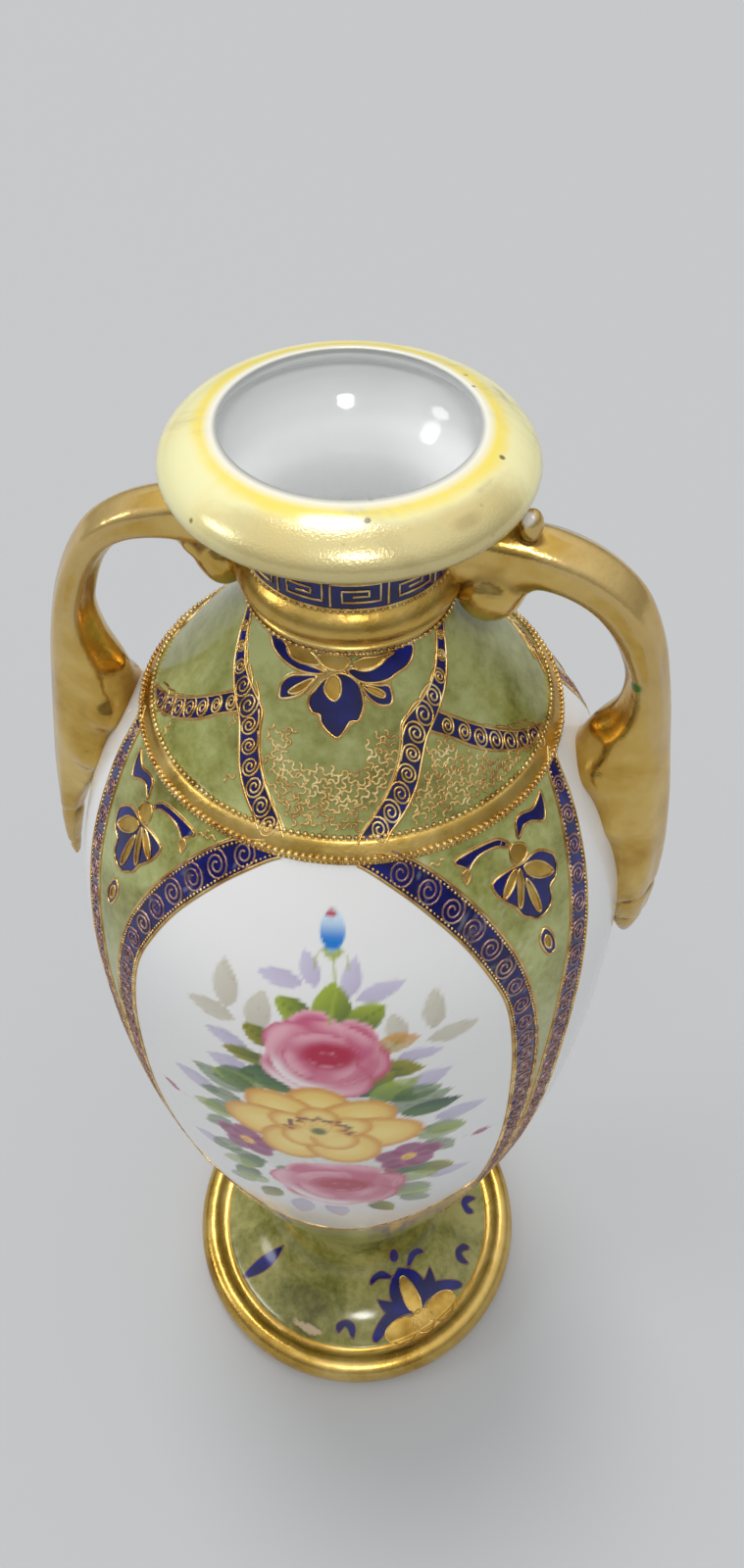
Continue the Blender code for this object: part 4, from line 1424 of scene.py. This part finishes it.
def markHandle(side, mesh, points, pairs, normals, shell):
    # Where the gilding is rubbed, the painted shade in its hollows, and the two spots on the right handle: a
    # painted highlight by the knob and a green dot
    x = np.abs(points[:, 0])
    z = points[:, 2]
    hollow = ((neighbourMean(pairs, len(points))(points) - points) * normals).sum(axis=1)[:, None]
    hollow = easeMesh(hollow.repeat(3, axis=1), pairs, np.full(len(points), 0.6), 9)[:, 0] * 130
    outer = softStep(x - shell, 4.0, 15.0) * softStep(z, 180, 205)
    tail = 1 - softStep(z, 150, 184)
    facing = softStep(normals[:, 0] * handlePiece[side]["sign"], -0.2, 0.7)
    rubbed = np.maximum(outer, tail) * (0.55 + 0.45 * facing) + np.clip(-hollow - 0.5, 0, 0.4)
    keepValues(mesh, "rubbed", rubbed)
    # Painted shade for the hollows, from how far each point sinks below its neighbours
    keepValues(mesh, "deep", np.clip(hollow * 1.6, 0, 1))
    for name, (spot, reach) in handlePiece["marks"].items():
        gap = np.linalg.norm(points * mm - np.array(spot), axis=1)
        keepValues(mesh, name, (1 - softStep(gap, reach * 0.55, reach)) * (side == "right"))

def makeHandle(side):
    p = handlePiece
    thing = castHandle(side)
    made = thing.data
    points = meshPoints(made)[0]
    pairs = np.empty(len(made.edges) * 2, np.int32)
    made.edges.foreach_get("vertices", pairs)
    pairs = pairs.reshape(-1, 2)
    points = easeMesh(points, pairs, np.full(len(points), 0.5), 4)
    x = np.abs(points[:, 0])
    z = points[:, 2]
    for middleX, middleZ, spreadX, spreadZ, near, far, rounds in p["ease"]:
        gap = np.hypot((x - middleX) / spreadX, (z - middleZ) / spreadZ)
        points = easeMesh(points, pairs, (1 - softStep(gap, near, far)) * 0.5, rounds)
    made.vertices.foreach_set("co", (points * mm).ravel())
    made.update()
    normals = np.empty(len(points) * 3)
    made.vertices.foreach_get("normal", normals)
    normals = normals.reshape(-1, 3)
    dent = np.zeros(len(points))
    for line in p[side]["creases"]:
        gap = segmentGap(np.abs(points[:, 0]), points[:, 2], line)
        dent += p["creaseDepth"] * np.exp(-(gap / p["creaseWidth"]) ** 2)
    points -= normals * dent[:, None]
    points = easeMesh(points, pairs, np.full(len(points), 0.3), 2)
    # Whatever lies inside the vase is pushed out to just under its skin
    radii = np.hypot(points[:, 0], points[:, 1])
    shell = np.array([bodyRadiusAt(level * mm) / mm for level in points[:, 2]])
    neckInside = np.interp(points[:, 2], (217.5, 226.0, 228.5, 230.8, 233.0), (10.8, 11.6, 12.2, 13.2, 14.6))
    buried = np.where(points[:, 2] < 217.5, shell - 1.4, neckInside)
    scale = np.where(radii < buried, buried / np.maximum(radii, 0.1), 1.0)
    points[:, :2] *= scale[:, None]
    made.vertices.foreach_set("co", (points * mm).ravel())
    markHandle(side, made, points, pairs, normals, shell)
    made.materials.clear()
    made.materials.append(materials["gilt"])
    finishPiece(thing)

# Raised gold: lines, scrolls, key pattern, squiggles and rows of dots

goldWork = {"line": 0.00017, "scrollTurns": 2.15, "scrollPitch": 4.3, "keyUnits": 12, "squigglePitch": 1.22,
            "squiggleThickness": 0.62,
            "ringDot": 0.00038, "ringSpacing": 0.00088, "edgeDot": 0.00023, "edgeSpacing": 0.00066,
            "edgeGap": 0.00038}


def spaced(line, step):
    # Points at even distance along a 3-D line, with the direction there
    result = []
    left = step * 0.6
    for a, b in zip(line, line[1:]):
        run = b - a
        length = run.length
        while left < length:
            result.append((a + run * (left / length), run.normalized()))
            left += step
        left -= length
    return result


def snapped(point, lift):
    return onBody(angleOf(point), point[2] / mm, lift)


def scrollLines(inner, outer, pitch, share=0.43):
    # Running spirals along the middle of a band between two edges
    lines = []
    count = min(len(inner), len(outer))
    centre = [(a + b) / 2 for a, b in zip(inner, outer)]
    widths = [(a - b).length for a, b in zip(inner, outer)]
    for number, (spot, run) in enumerate(spaced(centre, pitch * mm)):
        nearest = min(range(count), key=lambda k: (centre[k] - spot).length)
        size = widths[nearest] * share
        if size < 0.0005:
            continue
        outward = Vector((spot[0], spot[1], 0)).normalized()
        side = run.cross(outward).normalized()
        line = [spot - run * (size * 1.25) - side * (size * 1.02),
                spot - run * (size * 0.5) - side * (size * 1.04)]
        steps = 30
        for k in range(steps):
            t = k / (steps - 1)
            turn = -math.pi / 2 + tau * goldWork["scrollTurns"] * t
            reach = size * (1.0 - 0.84 * t)
            line.append(spot + run * (reach * math.cos(turn)) + side * (reach * math.sin(turn)))
        lines.append(([snapped(point, 0.00002) for point in line], False, 0.78))
    return lines


def beside(line, distance):
    # The same line moved sideways over the surface
    moved = []
    for index, spot in enumerate(line):
        run = (line[min(index + 1, len(line) - 1)] - line[max(index - 1, 0)]).normalized()
        outward = Vector((spot[0], spot[1], 0)).normalized()
        moved.append(snapped(spot + run.cross(outward).normalized() * distance, 0.00002))
    return moved


def matched(first, second, steps):
    # The same number of 3-D points along both edges of a band
    def even(line):
        spots = [onBody(a, level) for a, level in line]
        total = sum((b - a).length for a, b in zip(spots, spots[1:]))
        return [spot for spot, run in spaced(spots, total / (steps + 0.2))][:steps]
    return even(first), even(second)


def bodyGold():
    lines = []
    scrolls = []
    dots = []
    for kind in ("front", "side"):
        white, blue = panelEdges(kind)
        inner = [p for p in white if p[0] > 8.0]
        for centre in panels["centres"][kind]:
            for side in (-1, 1):
                middle = panelTurn + centre
                for edge, away in ((inner, -1), (blue, 1)):
                    placed = outline3d(shifted(edge, middle, side), onBody, 0.00003)
                    lines.append((placed, False, 1.0))
                    dots.append((beside(placed, away * goldWork["edgeGap"]), False, 1.0))
                first, second = matched(shifted(inner, middle, side), shifted(blue, middle, side), 46)
                scrolls += scrollLines(first, second, goldWork["scrollPitch"])
    for place in fan["places"]:
        blues, golds = fanShapes(place)
        lines += outlined(blues, 0.00004, 0.85) + outlined(golds, 0.00004, 0.55)
    dots.append((bodyRing(197.36, 0.00010, 180), True, 1.0))
    for centre in (0.0, 90.0, 180.0, -90.0):
        reach = 42.0 if centre in (0.0, 180.0) else 33.0
        turns = [panelTurn + centre + reach * k / 24 for k in range(-24, 25)]
        lines.append(([onBody(turn, float(panelEnd(turn)), 0.00003) for turn in turns], False, 1.3))
    return lines, scrolls, dots


def shoulderGold():
    lines = []
    edges = {key: smooth(shoulderField[key], 4) for key in shoulderField}
    for centre in (0.0, 180.0):
        for side in (-1, 1):
            middle = panelTurn + centre
            for key in edges:
                lines.append((outline3d(shifted(edges[key], middle, side), onBody, 0.00004), False, 0.85))
            for a, b in (("inner", "outer"), ("crossLow", "crossHigh")):
                first, second = matched(shifted(edges[a], middle, side), shifted(edges[b], middle, side), 30)
                lines += scrollLines(first, second, 2.5, 0.40)
        blues, golds = palmetteShapes(panelTurn + centre)
        lines += outlined(blues, 0.00004, 0.9) + outlined(golds, 0.00004, 0.6)
    return lines


def squiggle(dice, angle, level, size):
    # Short curling stroke of fine gold, centred on its place
    middle = onBody(angle, level)
    outward = Vector((middle[0], middle[1], 0)).normalized()
    along = Vector((-outward[1], outward[0], 0))
    up = (onBody(angle, level + 0.5) - middle).normalized()
    heading = dice.uniform(0, tau)
    bend = dice.choice((-1, 1))
    turnBack = dice.choice((3, 4, 5))
    x, y = 0.0, 0.0
    flat = []
    for k in range(15):
        flat.append((x, y))
        if k in (turnBack, turnBack + 5):
            bend = -bend
        heading += bend * dice.uniform(0.50, 0.62)
        x += size * math.cos(heading)
        y += size * math.sin(heading)
    centreX = sum(x for x, y in flat) / len(flat)
    centreY = sum(y for x, y in flat) / len(flat)
    line = []
    for x, y in flat:
        spot = middle + along * (x - centreX) + up * (y - centreY)
        line.append(onBody(angleOf(spot), spot[2] / mm, 0.00003))
    return line


def turnFrom(angle, middle):
    return abs((angle - middle + 180.0) % 360.0 - 180.0)


def squiggleZone(angle, level):
    # Which field a point lies in, kept clear of the bands and motifs round it
    away = min(turnFrom(angle, panelTurn), turnFrom(angle, panelTurn + 180.0))
    if 200.7 < level < 209.0:
        inner = np.interp(level, [z for a, z in shoulderField["inner"]],
                          [a for a, z in shoulderField["inner"]])
        outer = np.interp(level, [z for a, z in shoulderField["outer"]],
                          [a for a, z in shoulderField["outer"]])
        cross = np.interp(-level, [-z for a, z in shoulderField["crossLow"]],
                          [a for a, z in shoulderField["crossLow"]])
        if away < inner - 2.6 and (level < 206.5 or away > 12.5):
            return "front"
        if outer + 2.4 < away < cross - 3.0:
            return "flank"
    if 186.0 < level < 196.9:
        blue = np.interp(-level, [-z for a, z in panels["frontBlue"]], [a for a, z in panels["frontBlue"]])
        side = 90.0 - np.interp(-level, [-z for a, z in panels["sideBlue"]],
                                [a for a, z in panels["sideBlue"]])
        nearFan = level > 183 and abs(away - 49) < 18 - max(0, 190 - level) * 1.4
        if blue + 2.6 < away < side - 2.2 and not nearFan:
            return "corner"
    return None


def squiggleLines():
    # One curl in each cell of a shaken lattice over the green fields
    dice = random.Random(11)
    lines = []
    level = 186.4
    row = 0
    while level < 209.2:
        pitch = goldWork["squigglePitch"]
        here = onBody(0.0, level)
        slope = (onBody(0.0, level + 0.5) - here).length / 0.0005
        count = int(tau * -here[1] / (pitch * mm))
        for k in range(count):
            angle = 360.0 * (k + 0.5 * (row % 2) + dice.uniform(-0.16, 0.16)) / count - 180.0
            place = level + dice.uniform(-0.12, 0.12) / slope
            zone = squiggleZone(angle, place)
            if not zone or zone == "corner" and dice.random() < 0.25:
                continue
            if zone == "flank" and (abs(angle) > 90 or angle < 0) and dice.random() < 0.93:
                continue
            if abs(angle) > 90 and dice.random() < 0.35:
                continue
            lines.append((squiggle(dice, angle, place, 0.000185), False, goldWork["squiggleThickness"]))
        level += pitch * 0.86 / slope
        row += 1
    print("squiggles", len(lines))
    return lines


def keyLines():
    # Meander of square spirals on the neck
    radius = vaseShape["neckRadius"] + 0.00003
    low = neckPiece["keyLow"] + 0.45
    high = neckPiece["keyHigh"] - 0.45
    unit = [(0.0, 0.0), (0.0, 1.0), (0.86, 1.0), (0.86, 0.20), (0.20, 0.20), (0.20, 0.72), (0.66, 0.72),
            (0.66, 0.46),
            (0.38, 0.46)]
    lines = []
    width = 360.0 / goldWork["keyUnits"]
    for k in range(goldWork["keyUnits"]):
        path = []
        for (x0, y0), (x1, y1) in zip(unit, unit[1:]):
            steps = 4 if abs(x1 - x0) > 0.3 else 1
            for part in range(steps):
                t = part / steps
                path.append((x0 + (x1 - x0) * t, y0 + (y1 - y0) * t))
        path.append(unit[-1])
        points = []
        for x, y in path:
            turn = math.radians(width * (k + x))
            points.append(Vector((radius * math.sin(turn), -radius * math.cos(turn),
                                  (low + (high - low) * y) * mm)))
        lines.append((points, False, 1.1))
    return lines


def ringLine(radius, z, steps=120):
    return [Vector((radius * math.sin(tau * k / steps), -radius * math.cos(tau * k / steps),
                    z)) for k in range(steps)]


def bodyRing(level, lift, steps=120):
    return [onBody(360.0 * k / steps, level, lift) for k in range(steps)]


def footGold():
    return outlined(footShapes()[1], 0.00002, 0.55, onFoot)


def goldPiece(name, tree, lines, values, finish="raised"):
    thing = curveObject(name, lines)
    made = applyTree(thing, trees[tree], dict(values, Material=materials[finish]))
    faceOutwards(made.data)
    finishPiece(made)


def makeGold():
    lines, scrolls, dots = bodyGold()
    fine = {"Radius": goldWork["line"], "Sides": 5}
    goldPiece("bodyLines", "line", lines, fine)
    goldPiece("bodyScrolls", "line", scrolls, fine, "dim")
    goldPiece("bodyDots", "dots", dots, {"Spacing": goldWork["edgeSpacing"], "Radius": goldWork["edgeDot"]})
    lines = shoulderGold() + [(bodyRing(217.0, 0.0001), True, 1.3)]
    goldPiece("shoulderScrolls", "line", lines, fine)
    goldPiece("squiggles", "line", squiggleLines(), {"Radius": goldWork["line"], "Sides": 4}, "curl")
    neck = vaseShape["neckRadius"]
    lines = keyLines() + [(ringLine(neck, neckPiece["keyLow"] * mm), True, 1.7),
                          (ringLine(neck, neckPiece["keyHigh"] * mm), True, 1.7)]
    goldPiece("neckKey", "line", lines, fine)
    goldPiece("footScrolls", "line", footGold(), fine)
    goldPiece("ringDots", "dots", [(bodyRing(199.95, 0.00014, 180), True, 1.0),
                                   (bodyRing(198.0, 0.00016, 180), True, 1.0)],
              {"Spacing": goldWork["ringSpacing"], "Radius": goldWork["ringDot"]})
    goldPiece("neckDots", "dots", [(bodyRing(217.15, 0.0004, 120), True, 1.0),
                                   (ringLine(neck, (neckPiece["keyLow"] - 0.35) * mm), True, 1.0)],
              {"Spacing": 0.00086, "Radius": 0.00030})


# Flat gold band round the shoulder

bandPiece = {"columns": 224, "low": 197.25, "row": 0.255, "rows": 11, "proud": 0.00008, "sunk": 0.0010}

def makeBand():
    p = bandPiece
    levels = [p["low"] + p["row"] * k for k in range(p["rows"])]
    outer = [(bodyRadiusAt(z * mm) + p["proud"], z * mm) for z in levels]
    inner = [(bodyRadiusAt(z * mm) - p["sunk"], z * mm) for z in reversed(levels)]
    thing = turnedPiece("shoulderBand", outer + inner + [outer[0]], p["columns"], 0.0, materials["giltBand"])
    finishPiece(thing)


# Scene

camera = {"place": (0.0207086, -0.1107078, 0.3119186), "turn": (40.17087, -0.33861, 9.55861), "lens": 27.0}
sky = {"zenith": (1.0, 1.0, 1.0), "rim": (0.17, 0.17, 0.17), "strength": 0.95}
floorColor = (0.425, 0.433, 0.448, 1.0)
# Lights are name, where they shine from, power, spread in degrees and colour
lights = [
    ("above", (-0.12, 0.20, 1.0), 1.15, 16.0, (1.0, 0.99, 0.96)),
    ("front", (0.18, -0.70, 0.95), 0.66, 10.0, (1.0, 0.99, 0.97)),
    ("leftSide", (-0.95, -0.25, 0.55), 0.38, 16.0, (1.0, 1.0, 1.0)),
]


def makeStage():
    mesh = bpy.data.meshes.new("floor")
    mesh.from_pydata([(-4, -4, 0), (4, -4, 0), (4, 4, 0), (-4, 4, 0)], [], [(0, 1, 2, 3)])
    floor = addObject("floor", mesh)
    made, tree, shader = newMaterial("floorPaint", Roughness=0.75)
    shader.inputs["Base Color"].default_value = floorColor
    mesh.materials.append(made)
    world = bpy.data.worlds.new("studio")
    bpy.context.scene.world = world
    world.use_nodes = True
    tree = world.node_tree
    place = node(tree, "ShaderNodeTexCoord")
    rise = node(tree, "ShaderNodeSeparateXYZ", {0: place.outputs["Generated"]}).outputs["Z"]
    color = mixed(tree, ranged(tree, rise, 0.05, 0.95), sky["rim"], sky["zenith"])
    background = tree.nodes["Background"]
    tree.links.new(color, background.inputs[0])
    background.inputs[1].default_value = sky["strength"]
    for name, place, power, spread, color in lights:
        data = bpy.data.lights.new(name, "SUN")
        data.energy = power
        data.angle = math.radians(spread)
        data.color = color
        lamp = addObject(name, data)
        lamp.location = place
        lamp.rotation_euler = (-Vector(place)).to_track_quat("-Z", "Y").to_euler()


def makeCamera():
    data = bpy.data.cameras.new("view")
    data.sensor_fit = "VERTICAL"
    data.sensor_height = 36.0
    data.lens = camera["lens"]
    data.clip_start = 0.001
    thing = addObject("view", data)
    thing.location = camera["place"]
    thing.rotation_euler = [math.radians(x) for x in camera["turn"]]
    bpy.context.scene.camera = thing
    bpy.context.scene.view_settings.view_transform = "Standard"


makeCamera()
makeStage()
print("body")
makeBody()
makeShoulder()
makeBand()
makeNeck()
makeLip()
makeFoot()
print("handles")
makeHandle("left")
makeHandle("right")
print("raised gold")
makeGold()
